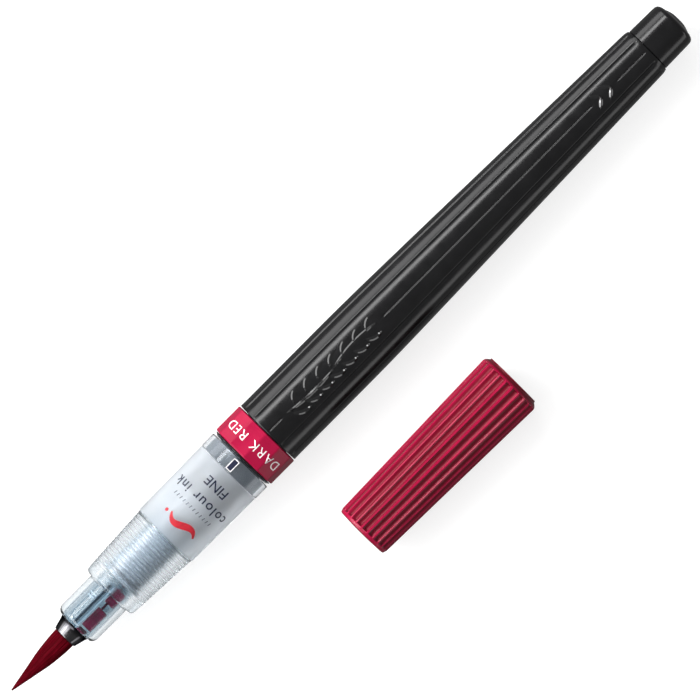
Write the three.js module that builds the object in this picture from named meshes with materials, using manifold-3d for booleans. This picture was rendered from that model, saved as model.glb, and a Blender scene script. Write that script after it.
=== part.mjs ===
// A brush pen with an ink cartridge for a barrel, lying on its side with its cap off beside it.
// Millimetres, +Z up. The pen lies along X: brush tip towards -X, tail towards +X.
// A "station" is a distance along the pen from the brush tip, or along the cap from its closed end.
import * as THREE from 'three';
import { mergeVertices } from 'three/addons/utils/BufferGeometryUtils.js';
import Module from 'manifold-3d';

const wasm = await Module();
wasm.setup();

// Clearances
const seatGap = 0.1;
const screwGap = 0.15;
const bodyGap = 0.15;
const tipSwingGap = 0.15;
const pieceGap = 0.3;

// Brush
const tuftLength = 11.8;
const tuftInset = 0.14;
const tuftBaseInset = 0.3;
const tuftBaseDepth = 0.9;
const rootInset = 0.15;
const rootLength = 1.5;
const clampRingLength = 0.5;
const clampRingBoreRadius = 0.9;
const ferruleLength = 2.3;
const ferruleMouthRadius = 2.1;
const ferruleRearInset = 0.35;
const ferruleWall = 0.25;

// Clear nose and ringed grip
const noseLength = 7.5;
const noseRadius = 3.87;
const noseWall = 0.82;
const noseChamferDepth = 0.67;
const noseChamferLength = 1.2;
const gripLength = 12.5;
const gripStep = 1.13;
const gripFlare = 0.65;
const gripShoulderRound = 0.8;
const gripWall = 1.2;
const spigotLength = 3;
const spigotWall = 0.6;

// Feeder inside the nose
const feedCoreInGrip = 2.4;
const feedCoreWall = 0.45;
const finThickness = 0.45;
const finOffset = 0.2;
const crossWallStart = 5;
const crossWallThickness = 0.8;
const rearWallThickness = 0.7;
const wickNeckRadius = 0.55;

// Tube from the cartridge to the feeder
const feedTubeRadius = 2.2;
const feedTubeBoreRadius = 1;
const feedFlangeLength = 0.7;
const nozzleRadius = 1.6;
const nozzleLength = 9;
const nozzlePastPlug = 1;

// Milky sleeve with the female thread, and the clear collar on its rear end
const sleeveLength = 14;
const sleeveStep = 0.15;
const sleeveDraft = 0.1;
const collarLength = 2.7;
const collarStep = 0.05;
const collarWall = 0.65;
const socketWall = 0.85;
const notchLength = 2.1;
const notchWidth = 1.1;
const notchDepth = 0.35;

// Screw joint: a rounded right-hand thread
const neckWall = 1;
const neckLength = 14.6;
const threadLead = 1.5;
const threadRound = 0.4;
const threadTurns = 2;
const gasketLength = 0.8;
const gasketStart = 2;
const gasketSection = 0.38;
const plugStart = 1;
const plugLength = 2;

// Ring between the collar and the barrel
const washerLength = 0.45;
const washerBevel = 0.6;
const ringLength = 5.2;
const ringProud = 0.125;
const ringSides = 12;

// Fluted barrel and its end plug
const barrelLength = 84.25;
const barrelInset = 0.11;
const barrelStraightLength = 17.2;
const barrelBlendLength = 19;
const barrelBlendDrop = 0.335;
const barrelTaper = 1.565;
const barrelEndChamfer = 0.9;
const barrelWall = 0.95;
const fluteCount = 12;
const fluteDepth = 0.2;
const neckSeatLength = 3.2;
const inkEndGap = 1;
const tailLength = 6.8;
const tailStep = 0.35;
const tailDraft = 0.12;
const tailRound = 1.1;
const tailSpigotLength = 3.6;

// Cap, lying beside the pen
const capLength = 33.8;
const capDraft = 0.82;
const capRibCount = 24;
const capRibDepth = 0.35;
const capRimLength = 0.8;
const capEndRound = 0.5;
const capWall = 1.07;
const cupMouthWall = 0.48;
const cupWall = 0.55;
const cupTipGap = 1.5;
const capBesidePen = 21.46;
const capAlongPen = 56;

// Faces of the turned pieces
const sides = 32;
const boreSides = 24;
const threadStepsPerTurn = 18;

// Stations along the pen
const mouthStation = tuftLength;
const noseStation = mouthStation + ferruleLength;
const gripStation = noseStation + noseLength;
const sleeveStation = gripStation + gripLength;
const collarStation = sleeveStation + sleeveLength;
const washerStation = collarStation + collarLength + bodyGap;
const ringStation = washerStation + washerLength + seatGap;
const barrelStation = ringStation + ringLength + bodyGap;
const barrelRear = barrelStation + barrelLength;
const tailStation = barrelRear + seatGap;
const penLength = tailStation + tailLength;

// Outside radii, each a step from the one before
const noseFrontRadius = noseRadius - noseChamferDepth;
const gripFrontRadius = noseRadius + gripStep;
const gripRearRadius = gripFrontRadius + gripFlare;
const sleeveFrontRadius = gripRearRadius + sleeveStep;
const sleeveRearRadius = sleeveFrontRadius + sleeveDraft;
const collarRadius = sleeveRearRadius + collarStep;
const ringCornerRadius = collarRadius + ringProud;
const ringFlatRadius = ringCornerRadius * Math.cos(Math.PI / ringSides);
const barrelRadius = ringCornerRadius - barrelInset;
const barrelRearRadius = barrelRadius - barrelTaper;
const tailFrontRadius = barrelRearRadius - tailStep;
const tailEndRadius = tailFrontRadius - tailDraft;
const capOpenRadius = noseRadius + 2 * seatGap + cupMouthWall + capWall;
const capClosedRadius = capOpenRadius - capDraft;

// Inside the ferrule and the nose
const ferruleMouthBore = ferruleMouthRadius - ferruleWall;
const tuftWaistRadius = ferruleMouthBore - tipSwingGap;
const tuftMouthRadius = ferruleMouthRadius - tuftInset;
const tuftBaseRadius = tuftWaistRadius - tuftBaseInset;
const shankBore = ferruleMouthBore - rootInset;
const rootRadius = shankBore - seatGap;
const shankRadius = shankBore + ferruleWall;
const shankRear = noseStation + rootLength - seatGap;
const swingDepth = Math.hypot(tuftBaseRadius, tuftBaseDepth) + tipSwingGap;
const rootStation = mouthStation + swingDepth;
const clampRear = shankRear + seatGap + clampRingLength;
const feedCoreFront = noseStation + seatGap;
const feedCoreRear = gripStation + feedCoreInGrip;
const noseBore = noseRadius - noseWall;
const ferruleRearRadius = noseBore - ferruleRearInset;
const feedCoreRadius = noseBore - seatGap;
const feedCoreBore = feedCoreRadius - feedCoreWall;
const chamberFront = clampRear + 2 * seatGap;
const crossFront = feedCoreFront + crossWallStart;
const crossRear = crossFront + crossWallThickness;
const rearWallFront = feedCoreRear - rearWallThickness;

// Inside the grip, the sleeve and the barrel
const gripBore = gripFrontRadius - gripWall;
const gripBoreFront = feedCoreRear + pieceGap;
const spigotRadius = gripBore + spigotWall;
const spigotRear = sleeveStation + spigotLength;
const collarBore = collarRadius - collarWall;
const socketSpigotRadius = collarBore - seatGap;
const socketBore = socketSpigotRadius - socketWall;
const socketRear = collarStation + collarLength - seatGap;
const neckRadius = socketBore - screwGap;
const neckBore = neckRadius - neckWall;
const neckFront = barrelStation - neckLength;
const neckRear = barrelStation + neckSeatLength;
const threadFront = socketRear - threadRound - threadTurns * threadLead;
const nozzleRear = neckFront + plugStart + plugLength + nozzlePastPlug;
const nozzleFront = nozzleRear - nozzleLength;
const neckSeatBore = barrelRadius - barrelWall;
const taperStation = barrelStation + barrelStraightLength + barrelBlendLength;
const polygonInset = Math.cos(Math.PI / boreSides);

// A solid turned about the X axis from [station, radius] points: outside first, towards +X.
// The first corner of the turned polygon faces up.
function turned(points, sideCount = sides) {
  const profile = points.map(([station, radius]) => new THREE.Vector2(radius, station));
  return new THREE.LatheGeometry(profile, sideCount).rotateZ(-Math.PI / 2);
}

function closed(points) {
  return [...points, points[0]];
}

// Points of a quarter round between two ends, bulging towards the corner.
function quarterRound([fromX, fromY], [cornerX, cornerY], [toX, toY], steps = 4) {
  const curve = new THREE.QuadraticBezierCurve(
    new THREE.Vector2(fromX, fromY),
    new THREE.Vector2(cornerX, cornerY),
    new THREE.Vector2(toX, toY),
  );
  return curve.getPoints(steps).map((point) => [point.x, point.y]);
}

// Moves the surface in towards the X axis at chosen corners of a turned solid.
function fluted(geometry, cornerCount, depthAt) {
  const position = geometry.attributes.position;
  for (let i = 0; i < position.count; i += 1) {
    const y = position.getY(i);
    const z = position.getZ(i);
    const radius = Math.hypot(y, z);
    const corner = Math.round((Math.atan2(y, z) / (2 * Math.PI)) * cornerCount);
    const depth = depthAt((corner + cornerCount) % cornerCount, position.getX(i));
    if (radius > depth) {
      position.setY(i, (y * (radius - depth)) / radius);
      position.setZ(i, (z * (radius - depth)) / radius);
    }
  }
  return geometry;
}

// One mesh of shared vertices, without the empty triangles that a turned pole leaves.
function welded(source) {
  const geometry = source.clone();
  geometry.deleteAttribute('normal');
  geometry.deleteAttribute('uv');
  const merged = mergeVertices(geometry, 1e-5);
  const index = merged.index.array;
  const kept = [];
  for (let i = 0; i < index.length; i += 3) {
    const [a, b, c] = [index[i], index[i + 1], index[i + 2]];
    if (a !== b && b !== c && c !== a) {
      kept.push(a, b, c);
    }
  }
  merged.setIndex(kept);
  return merged;
}

function asManifold(source) {
  const geometry = welded(source);
  return new wasm.Manifold(new wasm.Mesh({
    numProp: 3,
    vertProperties: new Float32Array(geometry.attributes.position.array),
    triVerts: new Uint32Array(geometry.index.array),
  }));
}

function asGeometry(manifold) {
  const mesh = manifold.getMesh();
  const geometry = new THREE.BufferGeometry();
  geometry.setAttribute('position', new THREE.BufferAttribute(mesh.vertProperties, 3));
  geometry.setIndex(new THREE.BufferAttribute(mesh.triVerts, 1));
  return geometry;
}

function joined(...geometries) {
  return asGeometry(geometries.map(asManifold).reduce((whole, next) => whole.add(next)));
}

function cut(geometry, ...cutters) {
  const whole = asManifold(geometry);
  return asGeometry(cutters.map(asManifold).reduce((rest, next) => rest.subtract(next), whole));
}

function block(length, width, height, x, y, z) {
  return new THREE.BoxGeometry(length, width, height).translate(x, y, z);
}

function rod(from, to, radius, y = 0, sideCount = 16) {
  return turned([[from, 0], [from, radius], [to, radius], [to, 0]], sideCount).translate(0, y, 0);
}

// A right-hand helix about the X axis.
class Helix extends THREE.Curve {
  constructor(radius, lead, start, turns) {
    super();
    Object.assign(this, { radius, lead, start, turns });
  }

  getPoint(t, target = new THREE.Vector3()) {
    const angle = 2 * Math.PI * this.turns * t;
    const station = this.start + this.lead * this.turns * t;
    return target.set(station, this.radius * Math.cos(angle), this.radius * Math.sin(angle));
  }
}

function threadCoil(start, turns, round) {
  const section = new THREE.Shape();
  section.absarc(0, 0, round, 0, 2 * Math.PI);
  return new THREE.ExtrudeGeometry(section, {
    steps: Math.round(turns * threadStepsPerTurn),
    curveSegments: 4,
    extrudePath: new Helix(neckRadius, threadLead, start, turns),
  });
}

// Brush

// The tuft stays inside a sphere about the ferrule's mouth where it swings past the rim.
function bristleTip() {
  const swell = [
    [0.08, 0.17],
    [0.26, 0.4],
    [0.42, 0.58],
    [0.58, 0.77],
    [0.74, 0.89],
  ];
  const waistLength = 0.8;
  const fullLength = 1.15;
  return turned([
    [0, 0],
    ...swell.map(([along, across]) => [along * tuftLength, across * tuftMouthRadius]),
    [mouthStation - fullLength, tuftMouthRadius],
    [mouthStation - waistLength, tuftWaistRadius],
    [mouthStation, tuftWaistRadius],
    [mouthStation + tuftBaseDepth, tuftBaseRadius],
    [mouthStation + tuftBaseDepth, 0],
  ], boreSides);
}

function bristleRoot() {
  return rod(rootStation, shankRear - seatGap, rootRadius, 0, boreSides);
}

function tube(front, rear, bore, radius, sideCount) {
  return turned(closed([
    [front, bore],
    [front, radius],
    [rear, radius],
    [rear, bore],
  ]), sideCount);
}

function rootClampRing() {
  return tube(shankRear + seatGap, clampRear, clampRingBoreRadius, shankRadius, boreSides);
}

function ferrule() {
  const flangeRear = noseStation - seatGap / 2;
  return turned(closed([
    [mouthStation, ferruleMouthBore],
    [mouthStation, ferruleMouthRadius],
    [flangeRear, ferruleRearRadius],
    [flangeRear, shankRadius],
    [shankRear, shankRadius],
    [shankRear, shankBore],
    [rootStation, shankBore],
    [rootStation, ferruleMouthBore],
  ]));
}

// Nose, grip and what is in them

function frontHousing() {
  const round = Math.min(gripShoulderRound, gripStep);
  const shoulder = quarterRound(
    [gripStation, gripFrontRadius - round],
    [gripStation, gripFrontRadius],
    [gripStation + round, gripFrontRadius],
  );
  return turned(closed([
    [noseStation, noseBore],
    [noseStation, noseFrontRadius],
    [noseStation + noseChamferLength * 0.4, noseFrontRadius + noseChamferDepth * 0.67],
    [noseStation + noseChamferLength, noseRadius],
    [gripStation, noseRadius],
    ...shoulder,
    [sleeveStation, gripRearRadius],
    [sleeveStation, spigotRadius],
    [spigotRear, spigotRadius],
    [spigotRear, gripBore],
    [gripBoreFront, gripBore],
    [gripBoreFront, noseBore],
  ]));
}

function feedCore() {
  const shell = turned(closed([
    [feedCoreFront, shankRadius + seatGap],
    [feedCoreFront, feedCoreRadius],
    [feedCoreRear, feedCoreRadius],
    [feedCoreRear, feedCoreBore],
    [chamberFront, feedCoreBore],
    [chamberFront, shankRadius + seatGap],
  ]));
  const weld = 0.05;
  const finLength = feedCoreRear - chamberFront;
  const finMiddle = chamberFront + finLength / 2;
  const fin = block(finLength, finThickness, 2 * (feedCoreBore + weld), finMiddle, finOffset, 0);
  const walls = joined(
    rod(crossFront, crossRear, feedCoreBore + weld, 0, sides),
    rod(rearWallFront, feedCoreRear, feedCoreBore + weld, 0, sides),
  );
  const holeRadius = wickNeckRadius + pieceGap / 2;
  const holes = [-1, 1].map((side) => {
    const aside = finOffset + (side * feedCoreBore) / 2;
    return rod(crossFront - 1, feedCoreRear + 1, holeRadius, aside);
  });
  return joined(shell, fin, cut(walls, ...holes));
}

// The part of a round rod on one side of the fin.
function wickHalf(from, to) {
  const radius = feedCoreBore - pieceGap;
  const edge = finOffset - finThickness / 2 - pieceGap;
  const whole = rod(from, to, radius, 0, sides);
  const waste = block(to - from + 2, 2 * radius, 2 * radius + 1, (from + to) / 2, edge + radius, 0);
  return cut(whole, waste);
}

function inkWick() {
  const aside = finOffset - feedCoreBore / 2;
  return joined(
    wickHalf(chamberFront + pieceGap, crossFront - pieceGap),
    wickHalf(crossRear + pieceGap, rearWallFront - pieceGap),
    rod(crossFront - 1, feedCoreRear + pieceGap / 2, wickNeckRadius, aside),
  );
}

function feedTube() {
  const flangeFront = gripBoreFront + seatGap;
  const flangeRear = flangeFront + feedFlangeLength;
  return turned(closed([
    [flangeFront, feedTubeBoreRadius],
    [flangeFront, gripBore - seatGap],
    [flangeRear, gripBore - seatGap],
    [flangeRear, feedTubeRadius],
    [nozzleFront, feedTubeRadius],
    [nozzleFront, nozzleRadius],
    [nozzleRear, nozzleRadius],
    [nozzleRear, feedTubeBoreRadius],
  ]));
}

function flowSponge() {
  const front = spigotRear + pieceGap;
  const rear = neckFront - pieceGap;
  return tube(front, rear, feedTubeRadius + seatGap, socketBore - seatGap, sides);
}

// Sleeve and collar

function threadSocket() {
  const sleeve = turned(closed([
    [sleeveStation + seatGap, spigotRadius + seatGap],
    [sleeveStation + seatGap, sleeveFrontRadius],
    [collarStation, sleeveRearRadius],
    [collarStation, socketSpigotRadius],
    [socketRear, socketSpigotRadius],
    [socketRear, socketBore],
    [spigotRear + seatGap, socketBore],
    [spigotRear + seatGap, spigotRadius + seatGap],
  ]));
  const turnsToMouth = threadTurns + 1.5;
  const groove = threadCoil(threadFront - threadLead / 4, turnsToMouth, threadRound + screwGap);
  groove.rotateX(-Math.PI / 2);
  return cut(sleeve, groove);
}

function jointCollar() {
  const rear = collarStation + collarLength;
  const ring = tube(collarStation + seatGap, rear, collarBore, collarRadius, sides);
  const notchMiddle = collarStation + collarLength / 2;
  const notch = block(notchLength, notchWidth, 2 * notchDepth, notchMiddle, notchWidth / 4, collarRadius);
  return cut(ring, notch);
}

// Ring and washer

function ringWasher() {
  const rear = washerStation + washerLength;
  const bore = neckRadius + 2 * screwGap;
  return turned(closed([
    [washerStation, bore],
    [washerStation, ringFlatRadius - washerBevel],
    [rear, ringFlatRadius],
    [rear, bore],
  ]));
}

function colourRing() {
  const bore = (neckRadius + 2 * screwGap) / Math.cos(Math.PI / ringSides);
  return tube(ringStation, ringStation + ringLength, bore, ringCornerRadius, ringSides);
}

// Cartridge

// The outside is straight, then blends softly into an even taper.
function cartridgeBarrel() {
  const cornerCount = fluteCount * 4;
  const blendStation = barrelStation + barrelStraightLength;
  const outside = turned([
    [barrelStation, 0],
    [barrelStation, barrelRadius],
    [blendStation, barrelRadius],
    [blendStation + barrelBlendLength / 2, barrelRadius - barrelBlendDrop / 4],
    [taperStation, barrelRadius - barrelBlendDrop],
    [barrelRear - barrelEndChamfer, barrelRearRadius],
    [barrelRear, tailFrontRadius + seatGap],
    [barrelRear, 0],
  ], cornerCount);
  fluted(outside, cornerCount, (corner) => (corner % 4 === 0 ? fluteDepth : 0));
  const tailBore = barrelRearRadius - barrelWall;
  const cavity = turned([
    [barrelStation - 1, 0],
    [barrelStation - 1, neckSeatBore],
    [neckRear + seatGap, neckSeatBore],
    [taperStation, barrelRadius - barrelBlendDrop - barrelWall],
    [barrelRear - tailSpigotLength - 1, tailBore],
    [barrelRear + 1, tailBore],
    [barrelRear + 1, 0],
  ], boreSides);
  return cut(outside, cavity);
}

function cartridgeNeck() {
  const gasketFront = neckFront + gasketStart;
  const gasketRear = gasketFront + gasketLength + 2 * seatGap;
  const gasketSeat = neckRadius - gasketSection;
  const seatRadius = neckSeatBore * polygonInset - seatGap;
  const neck = turned(closed([
    [neckFront, neckBore],
    [neckFront, neckRadius],
    [gasketFront, neckRadius],
    [gasketFront, gasketSeat],
    [gasketRear, gasketSeat],
    [gasketRear, neckRadius],
    [barrelStation + seatGap, neckRadius],
    [barrelStation + seatGap, seatRadius],
    [neckRear, seatRadius],
    [neckRear, neckBore],
  ]));
  return joined(neck, threadCoil(threadFront, threadTurns, threadRound));
}

function neckGasket() {
  const front = neckFront + gasketStart + seatGap;
  const inside = neckRadius - gasketSection + seatGap / 2;
  return tube(front, front + gasketLength, inside, neckRadius + screwGap / 2, sides);
}

function neckPlug() {
  const front = neckFront + plugStart;
  return tube(front, front + plugLength, nozzleRadius + screwGap, neckBore - seatGap, sides);
}

function inkCharge() {
  const front = neckRear + inkEndGap;
  const rear = barrelRear - tailSpigotLength - inkEndGap;
  return turned([
    [front, 0],
    [front, neckSeatBore - 2 * pieceGap],
    [taperStation, barrelRadius - barrelBlendDrop - barrelWall - pieceGap],
    [rear, barrelRearRadius - barrelWall - pieceGap],
    [rear, 0],
  ], boreSides);
}

function tailPlug() {
  const dome = 0.1;
  const spigotFront = barrelRear - tailSpigotLength;
  const spigotRadiusHere = (barrelRearRadius - barrelWall) * polygonInset - seatGap;
  const end = quarterRound(
    [penLength - tailRound, tailEndRadius],
    [penLength - dome, tailEndRadius],
    [penLength - dome, tailEndRadius - tailRound],
    5,
  );
  return turned([
    [spigotFront, 0],
    [spigotFront, spigotRadiusHere],
    [tailStation, spigotRadiusHere],
    [tailStation, tailFrontRadius],
    ...end,
    [penLength, tailEndRadius / 3],
    [penLength, 0],
  ]);
}

// Cap, with its closed end at station 0

function capCrest(station) {
  return THREE.MathUtils.lerp(capClosedRadius, capOpenRadius, station / capLength);
}

function capBore(station) {
  return capCrest(station) - capWall;
}

function capShell() {
  const cornerCount = capRibCount * 2;
  const dome = 0.1;
  const ribFront = capEndRound + 0.15;
  const ribRear = capLength - capRimLength;
  const endWall = 1;
  const end = quarterRound(
    [dome, capClosedRadius - capEndRound],
    [dome, capClosedRadius],
    [capEndRound, capClosedRadius],
  );
  const outside = turned([
    [0, 0],
    [0, capClosedRadius / 2],
    ...end,
    [ribFront, capCrest(ribFront)],
    [ribRear, capCrest(ribRear)],
    [capLength, capOpenRadius - capRibDepth],
    [capLength, 0],
  ], cornerCount);
  fluted(outside, cornerCount, (corner, station) => {
    const ribbed = station > ribFront - seatGap / 2 && station < ribRear + seatGap / 2;
    return ribbed && corner % 2 === 0 ? capRibDepth : 0;
  });
  const inside = turned([
    [endWall, 0],
    [endWall, capBore(endWall)],
    [capLength + 1, capBore(capLength + 1)],
    [capLength + 1, 0],
  ], boreSides);
  return cut(outside, inside);
}

function capInnerCup() {
  const tipWallRear = capLength - gripStation - cupTipGap;
  const tipWallFront = tipWallRear - cupWall;
  const noseDepth = capLength - noseLength - bodyGap;
  const rim = capLength - pieceGap;
  const snug = (station) => capBore(station) * polygonInset - seatGap;
  const tuftBore = snug(tipWallFront) - cupWall;
  const noseSocket = noseRadius + seatGap;
  return turned([
    [tipWallFront, 0],
    [tipWallFront, snug(tipWallFront)],
    [rim, snug(rim)],
    [rim, noseSocket],
    [noseDepth, noseSocket],
    [noseDepth, tuftBore],
    [tipWallRear, tuftBore],
    [tipWallRear, 0],
  ], boreSides);
}

const burgundy = { color: 0x8c1238, roughness: 0.35, metalness: 0 };
const black = { color: 0x101012, roughness: 0.25, metalness: 0 };
const clear = { color: 0xdfe6ec, roughness: 0.1, metalness: 0, transparent: true, opacity: 0.35 };
const milky = { color: 0xe9ebee, roughness: 0.4, metalness: 0 };
const metal = { color: 0x6f6f74, roughness: 0.2, metalness: 1 };
const bristle = { color: 0x1c1a1c, roughness: 0.5, metalness: 0 };
const rubber = { color: 0x2a2a2c, roughness: 0.8, metalness: 0 };
const ink = { color: 0x6d0a2b, roughness: 0.2, metalness: 0 };
const sponge = { color: 0xc9c3bb, roughness: 0.95, metalness: 0 };

function piece(name, geometry, look) {
  const mesh = new THREE.Mesh(welded(geometry), new THREE.MeshStandardMaterial(look));
  mesh.name = name;
  return mesh;
}

const pen = new THREE.Group();
pen.add(
  piece('bristle_tip', bristleTip(), bristle),
  piece('bristle_root', bristleRoot(), bristle),
  piece('root_clamp_ring', rootClampRing(), metal),
  piece('ferrule', ferrule(), metal),
  piece('feed_core', feedCore(), clear),
  piece('ink_wick', inkWick(), ink),
  piece('front_housing', frontHousing(), clear),
  piece('feed_tube', feedTube(), clear),
  piece('flow_sponge', flowSponge(), sponge),
  piece('thread_socket', threadSocket(), milky),
  piece('joint_collar', jointCollar(), clear),
  piece('ring_washer', ringWasher(), black),
  piece('colour_ring', colourRing(), burgundy),
  piece('cartridge_neck', cartridgeNeck(), black),
  piece('neck_gasket', neckGasket(), rubber),
  piece('neck_plug', neckPlug(), rubber),
  piece('cartridge_barrel', cartridgeBarrel(), black),
  piece('ink_charge', inkCharge(), ink),
  piece('tail_plug', tailPlug(), black),
);
pen.position.set(-penLength / 2, 0, ringCornerRadius);

const cap = new THREE.Group();
cap.add(
  piece('cap_shell', capShell(), burgundy),
  piece('cap_inner_cup', capInnerCup(), burgundy),
);
const capLowest = new THREE.Box3().setFromObject(cap).min.z;
cap.position.set(capAlongPen - penLength / 2, -capBesidePen, -capLowest);

// The origin is under the middle of the whole, on the surface that it lies on.
const brushPen = new THREE.Group();
brushPen.add(pen, cap);
const middle = new THREE.Box3().setFromObject(brushPen).getCenter(new THREE.Vector3());
brushPen.position.set(-middle.x, -middle.y, 0);

export default brushPen;
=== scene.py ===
import math
import bmesh
import bpy
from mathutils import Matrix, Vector


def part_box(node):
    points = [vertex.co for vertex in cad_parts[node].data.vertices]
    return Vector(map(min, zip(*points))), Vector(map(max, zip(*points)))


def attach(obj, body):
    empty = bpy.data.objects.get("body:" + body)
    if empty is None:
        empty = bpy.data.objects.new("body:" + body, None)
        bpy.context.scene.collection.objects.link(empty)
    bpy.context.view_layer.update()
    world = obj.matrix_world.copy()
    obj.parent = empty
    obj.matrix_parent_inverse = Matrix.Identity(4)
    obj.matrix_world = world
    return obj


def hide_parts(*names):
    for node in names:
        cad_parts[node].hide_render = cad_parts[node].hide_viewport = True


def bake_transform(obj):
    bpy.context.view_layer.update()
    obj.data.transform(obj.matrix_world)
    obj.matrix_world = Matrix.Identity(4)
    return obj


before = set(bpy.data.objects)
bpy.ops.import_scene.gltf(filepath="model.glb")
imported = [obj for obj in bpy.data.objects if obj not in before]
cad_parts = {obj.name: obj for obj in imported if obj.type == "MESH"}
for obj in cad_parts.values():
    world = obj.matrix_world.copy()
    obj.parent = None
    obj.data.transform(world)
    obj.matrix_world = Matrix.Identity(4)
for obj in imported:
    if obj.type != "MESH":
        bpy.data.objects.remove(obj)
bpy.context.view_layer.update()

mm = 0.001

# where things are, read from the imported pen
tailLow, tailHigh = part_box("tail_plug")
capLow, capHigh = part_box("cap_shell")
penY = (tailLow.y + tailHigh.y) / 2
penZ = (tailLow.z + tailHigh.z) / 2
capY = (capLow.y + capHigh.y) / 2
capZ = (capLow.z + capHigh.z) / 2
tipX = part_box("bristle_tip")[0].x
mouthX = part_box("ferrule")[0].x
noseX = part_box("front_housing")[0].x
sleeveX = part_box("thread_socket")[0].x
collarX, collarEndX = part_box("joint_collar")[0].x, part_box("joint_collar")[1].x
ringX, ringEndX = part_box("colour_ring")[0].x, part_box("colour_ring")[1].x
barrelX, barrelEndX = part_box("cartridge_barrel")[0].x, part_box("cartridge_barrel")[1].x
endX = tailHigh.x
ringRadius = (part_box("colour_ring")[1].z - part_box("colour_ring")[0].z) / 2
penLength, ringAcross = (endX - tipX) / mm, 2 * ringRadius / mm
print("frame: pen", round(penLength, 1), "mm long, ring", round(ringAcross, 2), "mm across")


def onPen(x, angle, radius, axisY=penY, axisZ=penZ):
    # angle 0 is straight up and grows towards the cap's side
    return Vector((x, axisY - radius * math.sin(angle), axisZ + radius * math.cos(angle)))


def newObject(name, mesh, finish=None):
    obj = bpy.data.objects.new(name, mesh)
    bpy.context.scene.collection.objects.link(obj)
    if finish:
        mesh.materials.append(finish)
    return obj


def smoothShade(obj, sharpDegrees=35):
    mesh = obj.data
    mesh.polygons.foreach_set("use_smooth", [True] * len(mesh.polygons))
    mesh.set_sharp_from_angle(angle=math.radians(sharpDegrees))
    return obj


def arc(fromPoint, corner, toPoint, steps=6):
    # a rounded corner: points of a quadratic curve
    points = []
    for i in range(steps + 1):
        t = i / steps
        a, b, c = (1 - t) ** 2, 2 * t * (1 - t), t * t
        points.append((a * fromPoint[0] + b * corner[0] + c * toPoint[0],
                       a * fromPoint[1] + b * corner[1] + c * toPoint[1]))
    return points


def spread(start, end, count, radiusAt):
    # evenly spaced points of an outline whose radius is a function of x
    return [(start + (end - start) * i / count, radiusAt(start + (end - start) * i / count))
            for i in range(count + 1)]


def evenTurn(count):
    return [2 * math.pi * i / count for i in range(count)]


def closeMesh(made, mesh):
    # faces turned outwards, then written to the mesh
    bmesh.ops.recalc_face_normals(made, faces=made.faces)
    made.to_mesh(mesh)
    made.free()


def turned(name, outline, turn, finish, closed=False, axisY=penY, axisZ=penZ, skin=None):
    # turns an outline of (x, radius) about the axis; a closed outline makes a tube
    mesh = bpy.data.meshes.new(name)
    made = bmesh.new()
    mark = made.verts.layers.float.new("skin")
    rows = []
    for x, radius in outline:
        if radius == 0:
            row = [made.verts.new(onPen(x, 0, 0, axisY, axisZ))]
        else:
            row = [made.verts.new(onPen(x, angle, radius, axisY, axisZ)) for angle in turn]
        for vert in row:
            vert[mark] = skin(x, radius) if skin else 0.0
        rows.append(row)
    pairs = list(zip(rows, rows[1:] + rows[:1])) if closed else list(zip(rows, rows[1:]))
    count = len(turn)
    for near, far in pairs:
        for i in range(count):
            j = (i + 1) % count
            ring = [near[i % len(near)], far[i % len(far)], far[j % len(far)], near[j % len(near)]]
            corners = list(dict.fromkeys(ring))
            if len(corners) > 2:
                made.faces.new(corners)
    closeMesh(made, mesh)
    return smoothShade(newObject(name, mesh, finish))


def joined(main, other):
    bpy.ops.object.select_all(action="DESELECT")
    other.select_set(True)
    main.select_set(True)
    bpy.context.view_layer.objects.active = main
    bpy.ops.object.join()
    return main


def finishPiece(obj, body, slotName, *nodes):
    if nodes:
        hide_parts(*nodes)
    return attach(obj, body)


def nodeTree(name, inputs):
    # a geometry tree with named inputs, {"Name": (kind, default)}, and the ones every piece needs
    inputs = {**inputs, "Axis Y": ("Float", 0.0), "Axis Z": ("Float", 0.0),
              "Material": ("Material", None)}
    tree = bpy.data.node_groups.new(name, "GeometryNodeTree")
    tree.interface.new_socket("Geometry", in_out="INPUT", socket_type="NodeSocketGeometry")
    tree.interface.new_socket("Geometry", in_out="OUTPUT", socket_type="NodeSocketGeometry")
    for title, (kind, default) in inputs.items():
        socket = tree.interface.new_socket(title, in_out="INPUT", socket_type="NodeSocket" + kind)
        if default is not None:
            socket.default_value = default
    start = tree.nodes.new("NodeGroupInput")
    end = tree.nodes.new("NodeGroupOutput")
    return tree, start, end


def addNode(tree, kind, settings=None, **wires):
    # wires name a socket, or give its number as i0, i1 and so on
    node = tree.nodes.new(kind)
    for key, value in (settings or {}).items():
        setattr(node, key, value)
    for key, value in wires.items():
        numbered = key[0] == "i" and key[1:].isdigit()
        socket = node.inputs[int(key[1:]) if numbered else key.replace("_", " ")]
        if isinstance(value, bpy.types.NodeSocket):
            tree.links.new(value, socket)
        else:
            socket.default_value = value
    return node


def calc(tree, operation, *values, clamp=False):
    settings = {"operation": operation, "use_clamp": clamp}
    wires = {"i%d" % i: value for i, value in enumerate(values)}
    return addNode(tree, "ShaderNodeMath", settings, **wires).outputs[0]


def times(tree, first, *others):
    for other in others:
        first = calc(tree, "MULTIPLY", first, other)
    return first


def plus(tree, a, b, **options):
    return calc(tree, "ADD", a, b, **options)


def minus(tree, a, b, **options):
    return calc(tree, "SUBTRACT", a, b, **options)


def over(tree, a, b):
    return calc(tree, "DIVIDE", a, b)


def separate(tree, place):
    return addNode(tree, "ShaderNodeSeparateXYZ", None, Vector=place).outputs


def combine(tree, **wires):
    return addNode(tree, "ShaderNodeCombineXYZ", None, **wires).outputs[0]


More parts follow.
